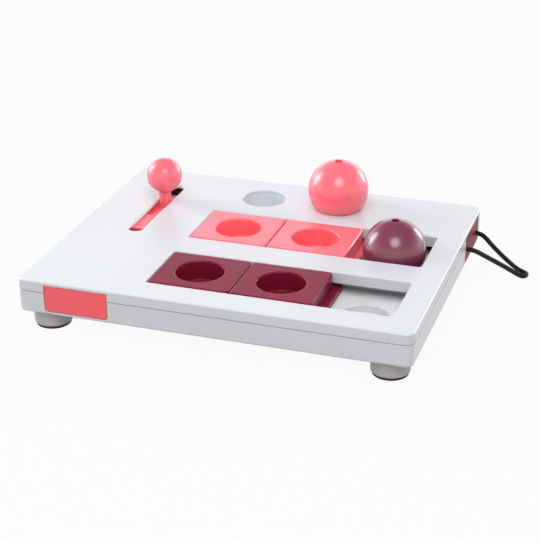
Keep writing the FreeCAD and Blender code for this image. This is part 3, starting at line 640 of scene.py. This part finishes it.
@dataclass(frozen=True)
class Window:
    """The window in a wall that a drawer's flush front fills, in millimetres."""

    width: float = 42.3
    depth: float = 2.5
    corner: float = 2.6
    top_gap: float = 0.15

    def solid(self, layout: Layout, sill: float) -> Solid:
        """The window from its sill up to the ceiling, to cut from the housing."""
        half = self.width / 2
        radii = (self.corner, 0, 0, self.corner)
        return in_wall((-half, sill), (half, layout.ceiling + self.top_gap), radii,
                       [(0, -THROUGH), (0, self.depth)])


@dataclass(frozen=True)
class Housing:
    """The white housing: cover, base, screws, feet and pads, in millimetres."""

    corners: ClassVar[tuple[str, ...]] = ("front_left", "front_right", "rear_left", "rear_right")

    layout: Layout
    window: Window
    corner: float = 5.5
    top_edge: float = 1.0
    bottom_edge: float = 1.5
    seam_chamfer: float = 0.4
    seam_gap: float = 0.2
    lip_thickness: float = 0.9
    lip_side_gap: float = 0.2
    lip_top_gap: float = 0.3
    channel_width: float = 48.2
    channel_right_margin: float = 17.0
    channel_end_cover: float = 3.7
    channel_corner: float = 2.0
    channel_wall: float = 1.8
    opening_edge: float = 0.8
    slot_inset: float = 90.5
    slot_length: float = 83.2
    slot_width: float = 9.4
    slot_edge: float = 1.1
    cup_radius: float = 14.8
    cup_rim: float = 0.6
    seat_radius: float = 4.5
    seat_rise: float = 1.8
    screw_left: float = 10.5
    screw_right: float = 6.4
    screw_end: float = 45.0
    screw_right_rear: float = 64.0
    screw_front: float = 7.2
    screw_rear: float = 12.0
    screw_hole: float = 1.7
    spigot_hole: float = 5.05
    counterbore_radius: float = 3.2
    counterbore_depth: float = 1.9
    pull_sill_drop: float = 0.7
    pad_radius: float = 11.0
    pad_edge: float = 0.45

    def screw_spots(self) -> list[Pair]:
        """Where the screws stand: six along the rim, and the bar's one last."""
        (left, front), (right, rear) = self.layout.low, self.layout.high
        bar_x = (self.layout.cells[0] + self.layout.cells[1]) / 2
        return [
            (left + self.screw_left, front + self.screw_end), (left + self.screw_left, rear - self.screw_end),
            (right - self.screw_right, front + self.screw_end),
            (right - self.screw_right, rear - self.screw_right_rear),
            (bar_x, front + self.screw_front), (bar_x, rear - self.screw_rear),
            (bar_x, (self.layout.plum_channel + self.layout.pink_channel) / 2),
        ]

    def outline(self) -> Plan:
        """The board's outline."""
        return Plan.block(self.layout.low, self.layout.high, self.corner, 14)

    def channel(self, line: float) -> Plan:
        """The outline of the channel whose middle line is at that y."""
        cells = self.layout.cells
        right = self.layout.high[0] - self.channel_right_margin
        left = right - 3 * (cells[1] - cells[0]) + self.channel_end_cover
        half = self.channel_width / 2
        return Plan.block((left, line - half), (right, line + half), self.channel_corner)

    def windows(self) -> list[Solid]:
        """Both drawer windows, in place."""
        floor = self.layout.floor
        return [
            self.window.solid(self.layout, floor).moved(self.layout.front_wall()),
            self.window.solid(self.layout, floor - self.pull_sill_drop).moved(self.layout.right_wall()),
        ]

    def cover(self) -> Solid:
        """The upper half as one moulding: skin, rim, channel walls, lever slot and the cups' mouths."""
        top, ceiling, seam = self.layout.top, self.layout.ceiling, self.layout.seam
        moulding = Moulding()
        room = self.layout.skin - self.lip_thickness - self.lip_side_gap
        lip_top = seam + self.layout.lip + self.lip_top_gap
        ends = moulding.wall(self.outline(), [
            *arc((-self.top_edge, top - self.top_edge), self.top_edge, 90, 0, 8),
            (0, seam + self.seam_gap + self.seam_chamfer), (-self.seam_chamfer, seam + self.seam_gap),
            (-room, seam + self.seam_gap), (-room, lip_top),
            (-self.layout.skin, lip_top), (-self.layout.skin, ceiling),
        ])
        rim = arc((self.opening_edge, top - self.opening_edge), self.opening_edge, 90, 180)
        openings = [
            (self.channel(line), [*rim, (0, seam), (self.channel_wall, seam), (self.channel_wall, ceiling)])
            for line in (self.layout.plum_channel, self.layout.pink_channel)]
        half = self.slot_width / 2
        front = self.layout.low[1] + self.slot_inset
        slot = Plan.block((self.layout.lever_x - half, front),
                          (self.layout.lever_x + half, front + self.slot_length), half, 16)
        slot_rim = arc((self.slot_edge, top - self.slot_edge), self.slot_edge, 90, 180)
        openings.append((slot, [*slot_rim, (0, ceiling)]))
        cup_rim = arc((self.cup_rim, top - self.cup_rim), self.cup_rim, 90, 180, 4)
        openings += [
            (Plan.circle((x, self.layout.rear_row), self.cup_radius), [*cup_rim, (0, ceiling)])
            for x in self.layout.cells[:2]]
        moulding.close(ends, openings)
        return Solid.of(moulding).mixed(Mix.CUT, self.windows())

    def base(self) -> Solid:
        """The lower half: floor, rim with its lip, screw seats and foot holes."""
        floor, seam, under = self.layout.floor, self.layout.seam, self.layout.underside
        moulding = Moulding()
        skin, lip_top = self.layout.skin, seam + self.layout.lip
        lip_out = skin - self.lip_thickness
        ends = moulding.wall(self.outline(), [
            (-skin, floor), (-skin, lip_top), (-lip_out, lip_top), (-lip_out, seam),
            (0, seam),
            *arc((-self.bottom_edge, under + self.bottom_edge), self.bottom_edge, 0, -90, 8),
        ])
        seat = floor + self.seat_rise
        hole = self.screw_hole - self.seat_radius
        bore = self.counterbore_radius - self.seat_radius
        bore_top = under + self.counterbore_depth
        seat_profile = [
            (0, floor), (0, seat), (hole, seat), (hole, bore_top), (bore, bore_top), (bore, under)]
        openings = [(Plan.circle(spot, self.seat_radius, 10), seat_profile) for spot in self.screw_spots()]
        openings += [
            (Plan.circle(middle(f"foot_{corner}"), self.spigot_hole, 10), [(0, floor), (0, under)])
            for corner in self.corners]
        moulding.close(ends, openings)
        return Solid.of(moulding).mixed(Mix.CUT, self.windows())

    def pad(self, corner: str) -> Solid:
        """One rubber pad under a foot, its lower edge rounded."""
        low, high = span(f"foot_pad_{corner}")
        foot = span(f"foot_{corner}")[0].z
        seated, soft = (high.x - low.x) / 2, self.pad_edge
        return Solid.turned(middle(f"foot_pad_{corner}"), [
            (0, low.z), *arc((self.pad_radius - soft, low.z + soft), soft, -90, 0),
            (self.pad_radius, foot), (seated, foot), (seated, high.z), (0, high.z)])


@dataclass(frozen=True)
class Tile:
    """A sliding tile with its cup, its tongue and its side flanges, in millimetres."""

    layout: Layout
    width: float = 47.5
    corner: float = 2.8
    top_edge: float = 1.15
    wall: float = 1.8
    run: float = 0.2
    overhang: float = 4.3
    flange_height: float = 4.0
    flange_edge: float = 0.35
    flange_corner: float = 1.2
    tongue: float = 4.1
    tongue_clearance: float = 1.1
    side_flange: float = 6.2
    cup_radius: float = 15.2
    cup_depth: float = 13.0
    cup_wall: float = 1.6
    cup_fillet: float = 1.2
    cup_rim: float = 1.0
    rib: float = 1.2
    rib_rise: float = 5.0

    def solid(self, centre: Pair) -> Solid:
        """Builds the tile whose top has its middle at that place."""
        top, low = self.layout.top, self.layout.deck + self.run
        half_x, half_y = self.layout.tile_length / 2, self.width / 2
        step = -half_x + self.tongue + self.tongue_clearance
        under = low + self.overhang
        edge = arc((-self.top_edge, top - self.top_edge), self.top_edge, 0, 90, 6)
        tile = Solid.swept(Plan.block((-half_x, -half_y), (half_x, half_y), self.corner), [(0, under), *edge])
        reach, side = half_x + self.tongue, half_y + self.side_flange
        soft = self.flange_edge
        flange_top = low + self.flange_height
        flange = Solid.swept(Plan.block((step, -side), (reach, side), self.flange_corner, 5), [
            *arc((-soft, low + soft), soft, -90, 0, 3), *arc((-soft, flange_top - soft), soft, 0, 90, 3)])
        body = Solid.block((step, -half_y, low), (half_x, half_y, under + THROUGH))
        tile = tile.mixed(Mix.JOIN, [body, flange])
        roof, wall = top - self.wall, self.wall
        hollows = [
            Solid.block((-half_x + wall, -half_y + wall, under - THROUGH), (step, half_y - wall, roof)),
            Solid.block((step + wall, -half_y + wall, low - THROUGH), (half_x - wall, half_y - wall, roof)),
            Solid.block((step + wall, -side + wall, low - THROUGH),
                        (reach - wall, side - wall, flange_top - wall)),
        ]
        cup_floor = top - self.cup_depth
        cup_outside, rib = self.cup_radius + self.cup_wall, self.rib / 2
        rib_low, rib_top = roof - self.rib_rise, roof + wall / 2
        added = [
            Solid.turned((0, 0), [
                (0, cup_floor - self.cup_wall), (cup_outside, cup_floor - self.cup_wall),
                (cup_outside, rib_top), (0, rib_top)]),
            Solid.block((step + wall / 2, -rib, rib_low), (half_x - wall / 2, rib, rib_top)),
            Solid.block((-rib, -half_y + wall / 2, rib_low), (rib, half_y - wall / 2, rib_top)),
        ]
        cup = Solid.turned((0, 0), [
            (0, cup_floor),
            *arc((self.cup_radius - self.cup_fillet, cup_floor + self.cup_fillet), self.cup_fillet, -90, 0),
            *arc((self.cup_radius + self.cup_rim, top - self.cup_rim), self.cup_rim, 180, 90),
            (self.cup_radius + self.cup_rim, top + THROUGH), (0, top + THROUGH)])
        tile = tile.mixed(Mix.CUT, hollows).mixed(Mix.JOIN, added).mixed(Mix.CUT, [cup])
        return tile.moved(Matrix.Translation((*centre, 0)))


@dataclass(frozen=True)
class Dome:
    """A lift-off dome with a hole on top and a collar that drops into its well, in millimetres.

    The two halves of its mould leave a faint ridge round its waist.
    """

    radius: float = 20.4
    wall: float = 1.8
    hole: float = 2.7
    hole_edge: float = 0.35
    socket: float = 14.8
    seat: float = 0.58
    collar_gap: float = 0.5
    collar_depth: float = 2.5
    foot_edge: float = 0.15
    hole_wall: float = 1.2
    hole_depth: float = 2.9
    ridge_width: float = 0.3
    ridge_height: float = 0.035

    def solid(self, centre: Pair, seat: float) -> Solid:
        """Builds the dome over a well, standing on the level of its seat."""
        foot, collar = self.socket + self.seat, self.socket - self.collar_gap
        rise = math.sqrt(self.radius ** 2 - foot ** 2)
        inner, inner_collar = self.radius - self.wall, collar - self.wall
        around_hole = self.hole + self.hole_wall
        waist = math.degrees(self.ridge_width / 2 / self.radius)
        tip = math.degrees(math.acos((self.hole + self.hole_edge) / self.radius))
        tip_height = self.radius * math.sin(math.radians(tip))
        low = math.degrees(math.asin((self.foot_edge - rise) / self.radius))
        outline = [
            (foot - self.foot_edge, -rise), *arc((0, 0), self.radius, low, -waist, 18),
            *arc((0, 0), self.radius + self.ridge_height, -waist / 2, waist / 2, 1),
            *arc((0, 0), self.radius, waist, tip, 36),
            *arc((self.hole + self.hole_edge, tip_height - self.hole_edge), self.hole_edge, 90, 180, 4),
            (self.hole, tip_height - self.hole_depth), (around_hole, tip_height - self.hole_depth),
            *arc((0, 0), inner, math.degrees(math.acos(around_hole / inner)),
                 -math.degrees(math.acos(inner_collar / inner)), 32),
            (inner_collar, -rise - self.collar_depth), (collar, -rise - self.collar_depth), (collar, -rise),
        ]
        raised = [(out, seat + rise + height) for out, height in outline]
        return Solid.turned(centre, raised, 32)


@dataclass(frozen=True)
class Knob:
    """The lever's ball on its stem, in millimetres."""

    radius: float = 12.1
    lift: float = 22.5
    stem: float = 4.1
    neck: float = 1.6
    pilot: float = 1.48
    pilot_depth: float = 11.3

    def solid(self, centre: Pair, low: float) -> Solid:
        """Builds the knob on an upright axis, from the level of its foot."""
        ball = low + self.lift
        out = self.stem + self.neck
        drop = math.sqrt((self.radius + self.neck) ** 2 - out ** 2)
        slope = math.degrees(math.atan2(drop, out))
        outline = [
            (0, low + self.pilot_depth), (self.pilot, low + self.pilot_depth), (self.pilot, low),
            (self.stem, low), *arc((out, ball - drop), self.neck, 180, 180 - slope, 8),
            *arc((0, ball), self.radius, -slope, 90, 40)[1:],
        ]
        return Solid.turned(centre, outline)


@dataclass(frozen=True)
class Braid:
    """A round braid of two sets of strands, each over two and under two of the other set.

    Attributes:
        diameter: Over the crests of the strands, in millimetres.
        strands: Strands that wind each way.
        lay: Length along the cord of one strand's full turn, in millimetres.
        weave: How far a strand rises and dips at its crossings, in millimetres.
        crown: Height of a strand's round back, in millimetres.
        around: Points round the cord.
    """

    diameter: float = 3.3
    strands: int = 6
    lay: float = 11.4
    weave: float = 0.26
    crown: float = 0.55
    around: int = 80

    def reach(self, angle: float, along: float) -> float:
        """Finds how far the braid's surface is from the cord's middle.

        Args:
            angle: Direction round the cord, in radians.
            along: Distance along the cord, in millimetres.

        Returns:
            The distance, in millimetres.
        """
        wave = self.weave * math.sin(self.strands / 2 * angle + math.pi / 4)
        crest = self.diameter / 2 - self.weave - self.crown
        best = 0.0
        for hand in (1.0, -1.0):
            turn = (angle - hand * math.tau * along / self.lay) * self.strands / math.tau
            across = 2 * (turn - math.floor(turn)) - 1
            best = max(best, crest + hand * wave + self.crown * math.sqrt(max(0.0, 1 - across ** 2)))
        return best

    def solid(self, route: Sequence[Vector], closed: bool = False) -> Solid:
        """Winds the braid round a route.

        Args:
            route: Points along the middle of the cord, in millimetres.
            closed: Whether the last point joins the first.

        Returns:
            The braid as a closed surface.
        """
        moulding = Moulding()
        ahead = [*route[1:], route[0] if closed else 2 * route[-1] - route[-2]]
        behind = [route[-1] if closed else 2 * route[0] - route[1], *route[:-1]]
        across = Vector((0, 0, 1))
        along = 0.0
        rings = []
        for before, here, after in zip(behind, route, ahead):
            tangent = (after - before).normalized()
            across = (across - across.project(tangent)).normalized()
            other = tangent.cross(across)
            first = len(moulding.points)
            for step in range(self.around):
                angle = math.tau * step / self.around
                spot = here + self.reach(angle, along) * (math.cos(angle) * across + math.sin(angle) * other)
                moulding.points.append(tuple(spot))
            rings.append(range(first, first + self.around))
            along += (after - here).length
        moulding.skin(rings, rings[1:] + (rings[:1] if closed else []))
        if not closed:
            moulding.faces += [tuple(rings[0]), tuple(rings[-1])]
        return Solid.of(moulding)


@dataclass(frozen=True)
class PullCord:
    """The loop that pulls the drawer, and the knots that hold it behind the drawer's front.

    Attributes:
        layout: The shared levels and places.
        half_route: From a knot to the tip of the loop, in metres: distance out from the wall, half the
            loop's width, height above the ground.
        braid: How the cord is made.
        length: Length of the cord in metres, all of it in sight; not used.
        steps: Points that the smooth line gets between two of the route's points.
        knot_braid: How the cord is drawn in its knots, thinner and tighter.
        knot_size: Minor radius of the trefoil, in millimetres; its major radius is twice that.
        knot_steps: Points round a knot.
    """

    layout: Layout
    half_route: tuple[Triple, ...] = (
        (-0.0024, 0.0142, 0.0213), (0.0016, 0.0142, 0.0213), (0.0059, 0.0132, 0.0201),
        (0.0116, 0.0101, 0.0159), (0.0182, 0.0072, 0.0115), (0.0254, 0.0046, 0.0069),
        (0.0316, 0.0034, 0.0031), (0.0357, 0.0035, 0.00165), (0.0378, 0.0015, 0.00165),
    )
    braid: Braid = Braid()
    length: float = 0.0987
    steps: int = 28
    knot_braid: Braid = Braid(diameter=2.4, lay=7.0, weave=0.08, crown=0.22, around=48)
    knot_size: float = 0.72
    knot_steps: int = 120

    def line(self) -> list[Vector]:
        """Draws the cord's smooth line through the route, in metres."""
        wall, row = self.layout.high[0] * MM, self.layout.rear_row * MM
        half = [Vector((wall + out, row + width, height)) for out, width, height in self.half_route]
        mirrored = [Vector((spot.x, 2 * row - spot.y, spot.z)) for spot in reversed(half)]
        curve = bpy.data.curves.new("route", "CURVE")
        curve.dimensions = "3D"
        spline = curve.splines.new("NURBS")
        spline.points.add(len(half + mirrored) - 1)
        for point, spot in zip(spline.points, half + mirrored):
            point.co = (*spot, 1.0)
        spline.order_u = 3
        spline.use_endpoint_u = True
        spline.resolution_u = self.steps
        holder = bpy.data.objects.new("route", curve)
        mesh = bpy.data.meshes.new_from_object(holder)
        spots = [vertex.co.copy() for vertex in mesh.vertices]
        bpy.data.objects.remove(holder)
        return spots

    def knot(self, side: int) -> Solid:
        """Ties one stopper knot behind the drawer's front: a trefoil, drawn tight."""
        size, tight = self.knot_size, self.knot_braid
        out, width, height = self.half_route[0]
        centre = Vector((self.layout.high[0] + out / MM - size - tight.diameter / 2,
                         self.layout.rear_row + side * width / MM, height / MM))
        route = []
        for step in range(self.knot_steps):
            turn = math.tau * step / self.knot_steps
            reach = size * (2 + math.cos(3 * turn))
            route.append(centre + Vector((size * math.sin(3 * turn), reach * math.cos(2 * turn),
                                          reach * math.sin(2 * turn))))
        return tight.solid(route, closed=True)

    def tie(self, finish: Material) -> None:
        line = self.line()
        cord = self.braid.solid([spot / MM for spot in line]).placed(
            "pull_cord_braid", finish, Body.CORD_DRAWER, ["pull_cord"], "cord_black")
        knots = self.knot(1).mixed(Mix.JOIN, [self.knot(-1)]).placed(
            "pull_cord_knots", finish, Body.CORD_DRAWER, ["cord_knots"], "cord_black")


@dataclass(frozen=True)
class Softbox:
    """A large soft lamp.

    Attributes:
        name: The lamp's name.
        towards: Direction from the board to the lamp.
        distance: How far off it hangs, in metres.
        size: Width and height of its face, in metres.
        radiance: Brightness of its face, where 1 is white.
        mirrored: Whether glossy plastic shows its reflection.
    """

    name: str
    towards: Triple
    distance: float
    size: tuple[float, float]
    radiance: float
    mirrored: bool = True

    def hang(self) -> None:
        """Puts the lamp up, facing the board."""
        data = bpy.data.lights.new(self.name, "AREA")
        data.shape = "ELLIPSE"
        data.size, data.size_y = self.size
        data.energy = self.radiance * math.pi * math.pi / 4 * self.size[0] * self.size[1]
        lamp = bpy.data.objects.new(self.name, data)
        direction = Vector(self.towards).normalized()
        turn = direction.to_track_quat("Z", "Y").to_matrix().to_4x4()
        lamp.matrix_world = Matrix.Translation(direction * self.distance) @ turn
        lamp.visible_camera = False
        lamp.visible_glossy = self.mirrored
        bpy.context.scene.collection.objects.link(lamp)


@dataclass(frozen=True)
class Studio:
    """Floor, world, lamps and camera. The camera stands where the picture was taken from."""

    azimuth: float = 18.594
    elevation: float = 25.004
    roll: float = -0.426
    lens: float = 98.08
    place: Triple = (283.44, -824.07, 419.47)
    tent_front: Colour = (1.03, 1.0, 0.96, 1.0)
    tent_rear: Colour = (2.2, 2.24, 2.3, 1.0)
    tent_top: Colour = (0.3, 0.3, 0.3, 1.0)
    paper: Pair = (0.38, 0.42)
    fibre: float = 0.4
    tent_depths: Pair = (-0.5, 0.6)
    tent_heights: Pair = (0.1, 0.65)
    floor_glow: float = 0.94
    floor_half: float = 4.0
    lamps: tuple[Softbox, ...] = (
        Softbox("left_softbox", (-0.91, 0.145, 0.387), 1.0, (0.42, 0.7), 6.2),
        Softbox("front_softbox", (0.237, -0.604, 0.761), 1.1, (0.62, 0.62), 4.2),
        Softbox("rear_softbox", (0.5, 0.85, 0.2), 1.2, (0.3, 0.5), 7.5),
        Softbox("top_softbox", (0.05, -0.3, 0.95), 1.2, (1.4, 1.4), 1.65, mirrored=False),
    )

    def clear(self) -> None:
        """Takes the factory objects out of the scene."""
        for name in ("Cube", "Light", "Camera"):
            if name in bpy.data.objects:
                bpy.data.objects.remove(bpy.data.objects[name])

    def camera(self) -> None:
        """Puts the camera in place."""
        data = bpy.data.cameras.new("camera")
        data.lens = self.lens
        data.sensor_width = 36
        data.clip_start = 0.01
        camera = bpy.data.objects.new("camera", data)
        turn = Matrix.Rotation(math.radians(self.azimuth), 4, "Z")
        tilt = Matrix.Rotation(math.radians(90 - self.elevation), 4, "X")
        roll = Matrix.Rotation(math.radians(self.roll), 4, "Z")
        camera.matrix_world = Matrix.Translation(Vector(self.place) * MM) @ turn @ tilt @ roll
        bpy.context.scene.collection.objects.link(camera)
        bpy.context.scene.camera = camera

    @staticmethod
    def seen(tree: NodeTree) -> NodeSocket:
        """Gives 1 for the rays of the camera and those that mirror or pass through, else 0."""
        ray = add_node(tree, "LightPath")
        first = add_node(tree, "Math", {
            0: ray.outputs["Is Camera Ray"], 1: ray.outputs["Is Glossy Ray"]}, operation="ADD")
        second = add_node(tree, "Math", {
            0: first.outputs[0], 1: ray.outputs["Is Transmission Ray"]}, operation="ADD", use_clamp=True)
        return second.outputs[0]

    @staticmethod
    def blend(tree: NodeTree, place: NodeSocket, limits: Pair, low: Feed, high: Feed) -> NodeSocket:
        """Blends smoothly from one colour to another between two places."""
        share = add_node(tree, "MapRange", {
            "Value": place, "From Min": limits[0], "From Max": limits[1]}, interpolation_type="SMOOTHSTEP")
        return add_mix(tree, share.outputs["Result"], low, high)

    def world(self) -> None:
        """Lights the board from a tent that is brightest behind and above, and looks white itself."""
        world = bpy.data.worlds.new("studio")
        world.use_nodes = True
        tree = world.node_tree
        tree.nodes.clear()
        way = add_node(tree, "TexCoord").outputs["Generated"]
        turn = math.radians(self.azimuth)
        depth = add_node(tree, "VectorMath", {
            0: way, 1: (-math.sin(turn), math.cos(turn), 0.0)}, operation="DOT_PRODUCT")
        height = add_node(tree, "SeparateXYZ", {0: way})
        walls = self.blend(tree, depth.outputs["Value"], self.tent_depths, self.tent_front, self.tent_rear)
        tent = self.blend(tree, height.outputs["Z"], self.tent_heights, walls, self.tent_top)
        light = add_node(tree, "Background", {"Color": tent, "Strength": 1.0})
        white = add_node(tree, "Background", {
            "Color": (1.0, 1.0, 1.0, 1.0), "Strength": 1.0})
        camera_ray = add_node(tree, "LightPath").outputs["Is Camera Ray"]
        mix = add_node(tree, "MixShader", {
            0: camera_ray, 1: light.outputs[0], 2: white.outputs[0]})
        add_node(tree, "OutputWorld", {"Surface": mix.outputs[0]})
        bpy.context.scene.world = world

    def floor(self) -> None:
        """Lays a pale paper sweep that looks white where nothing shades it."""
        paper, tree = start_material("white_paper_sweep")
        # Paper fibres about 0.4 mm long, barely seen.
        shade = add_mix(tree, add_noise(tree, self.fibre, 2.0), *(
            (grey, grey, grey, 1.0) for grey in self.paper))
        diffuse = add_node(tree, "BsdfDiffuse", {"Color": shade})
        glow = add_node(tree, "Emission", {"Strength": 1.0})
        share = add_node(tree, "Math", {0: self.seen(tree), 1: self.floor_glow}, operation="MULTIPLY")
        mix = add_node(tree, "MixShader", {
            0: share.outputs[0], 1: diffuse.outputs[0], 2: glow.outputs[0]})
        add_node(tree, "OutputMaterial", {"Surface": mix.outputs[0]})
        half = self.floor_half
        mesh = bpy.data.meshes.new("floor")
        corners = [(-half, -half, 0), (half, -half, 0), (half, half, 0), (-half, half, 0)]
        mesh.from_pydata(corners, [], [(0, 1, 2, 3)])
        mesh.materials.append(paper)
        floor = bpy.data.objects.new("floor", mesh)
        bpy.context.scene.collection.objects.link(floor)
        floor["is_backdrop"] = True

    def set_up(self) -> None:
        """Builds the whole studio."""
        self.clear()
        self.camera()
        self.world()
        self.floor()
        for lamp in self.lamps:
            lamp.hang()


@dataclass(frozen=True)
class Finishes:
    """Every material of the board, by what it is made of; the deck's, cups' and feet's whites, the drawer's
    pink and the dome's plum are copies of one plastic with painted light, painted shade and painted sheen in
    their colours.
    """

    housing: MouldedABS = MouldedABS("white_moulded_abs", "#CCCED3", "#C9CBD0", 0.32, 0.5, 0.004, 0.008)
    # Painted light: the deck gets a lighter copy of the housing white, standing in for the light that reaches
    # the sunken deck.
    deck: MouldedABS = MouldedABS("white_abs_deck_painted_light", "#DDDEE0", "#DADBDD", 0.45, 0.5, 0.004, 0.008)
    # Painted light: the cups get a lighter, bluer copy of the housing white, standing in for light bouncing
    # inside them and the cool light from above.
    cup: MouldedABS = MouldedABS("white_abs_cup_painted_light", "#D6DAE0", "#D4D8DE", 0.4, 0.5, 0.004, 0.008)
    # Painted shade: the feet are the housing's white plastic, made grey here for the shade under the board.
    foot: MouldedABS = MouldedABS("white_abs_foot_painted_shade", "#B0ACAD", "#ACA8AA", 0.4, 0.5, 0.004, 0.008)
    tile_pink: MouldedABS = MouldedABS(
        "pink_satin_abs", "#FF7884", "#FF7480", 0.24, 0.4, 0.002, 0.004, 0.6, 1.0)
    tile_plum: MouldedABS = MouldedABS("plum_satin_abs", "#7C1734", "#771530", 0.22, 0.4, 0.002, 0.004, 0.14)
    # Painted shade: the drawer gets a deeper copy of the tiles' and balls' pink, set to the look of the pink
    # on a face in shade.
    drawer_pink: MouldedABS = MouldedABS(
        "pink_satin_abs_painted_shade", "#FF6570", "#FF616C", 0.24, 0.4, 0.002, 0.004, 0.5, 1.0)
    drawer_plum: MouldedABS = MouldedABS("plum_matt_abs", "#87203F", "#831E3C", 0.45, 0.5, 0.006, 0.006, 0.1)
    ball_pink: MouldedABS = MouldedABS(
        "pink_glossy_abs", "#FF7887", "#FF7483", 0.24, 0.4, 0.001, 0.003, 0.85, 1.0)
    # Painted sheen: the dome's plum is a greyer copy of the tiles' plum, standing in for the reflection of
    # the bright surroundings on its gloss.
    ball_plum: MouldedABS = MouldedABS("plum_glossy_abs_painted_sheen", "#7A2F4A", "#752B45", 0.24, 0.4, 0.001, 0.003, 0.9)
    yarn: PlainFinish = PlainFinish("black_polyester_yarn", "#070304", "#100A0B", 0.36, 0.0, 0.12, 0.01, 0.3)
    rubber: PlainFinish = PlainFinish("black_rubber", "#141416", "#1D1D20", 0.75, 0.0, 0.4, 0.02)
    steel: PlainFinish = PlainFinish("zinc_plated_steel", "#BFC0C4", "#A9ABB0", 0.32, 1.0, 0.3, 0.003)

    def carry_over(self, nodes: Mapping[str, Object]) -> None:
        """Gives the construction nodes that stay in view their materials."""
        kept = {
            self.housing: ["floor_ribs", "cover_posts"],
            self.deck: ["well_deck"],
            self.cup: ["treat_cup_left", "treat_cup_middle"],
            self.foot: [f"foot_{corner}" for corner in Housing.corners],
            self.steel: ["lever_screw", "housing_screws"],
            self.drawer_pink: ["lever_drawer"],
            self.drawer_plum: ["pull_drawer"],
        }
        for finish, names in kept.items():
            material = finish.material()
            for name in names:
                for slot in nodes[name].material_slots:
                    slot.material = material


def main() -> None:
    """Builds the board."""
    logging.basicConfig(level=logging.INFO, format="%(name)s %(message)s")
    bpy.context.scene.view_settings.view_transform = "Standard"
    Studio().set_up()
    layout, finishes = Layout.read(), Finishes()
    PullCord(layout).tie(finishes.yarn.material())
    finishes.carry_over(frame["nodes"])

    housing = Housing(layout, Window())
    white = finishes.housing.material()
    cover_nodes = ["top_cover", "cover_rim", "channel_wall_front", "channel_wall_rear"]
    housing.cover().placed("cover", white, Body.BOARD, cover_nodes, "housing_white")
    housing.base().placed("base", white, Body.BOARD, ["base_shell"], "housing_white")
    rubber = finishes.rubber.material()
    for corner in Housing.corners:
        housing.pad(corner).placed(
            f"{corner}_rubber_pad", rubber, Body.BOARD, [f"foot_pad_{corner}"], "pad_black")

    tile = Tile(layout)
    channels = (
        ("plum", finishes.tile_plum, layout.plum_channel), ("pink", finishes.tile_pink, layout.pink_channel))
    for colour, finish, line in channels:
        material = finish.material()
        for side, x in zip(("left", "right"), layout.cells):
            tile.solid((x, line)).placed(
                f"{colour}_tile_{side}", material, Body(f"{colour}_tile_{side}"),
                [f"tile_{colour}_{side}"], f"tile_{colour}")

    pink, plum = finishes.ball_pink.material(), finishes.ball_plum.material()
    Dome().solid((layout.cells[1], layout.rear_row), layout.top).placed(
        "pink_lift_off_dome", pink, Body.PINK_DOME, ["dome_pink"], "dome_pink")
    Dome().solid((layout.cells[2], layout.pink_channel), layout.deck).placed(
        "plum_lift_off_dome", plum, Body.PLUM_DOME, ["dome_plum"], "dome_plum")
    low, high = span("lever_knob")
    axis = (low + high) / 2
    Knob().solid((axis.x, axis.y), low.z).placed(
        "lever_ball", pink, Body.LEVER_SLIDE, ["lever_knob"], "knob_pink")

    low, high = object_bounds()


if __name__ == "__main__":
    main()
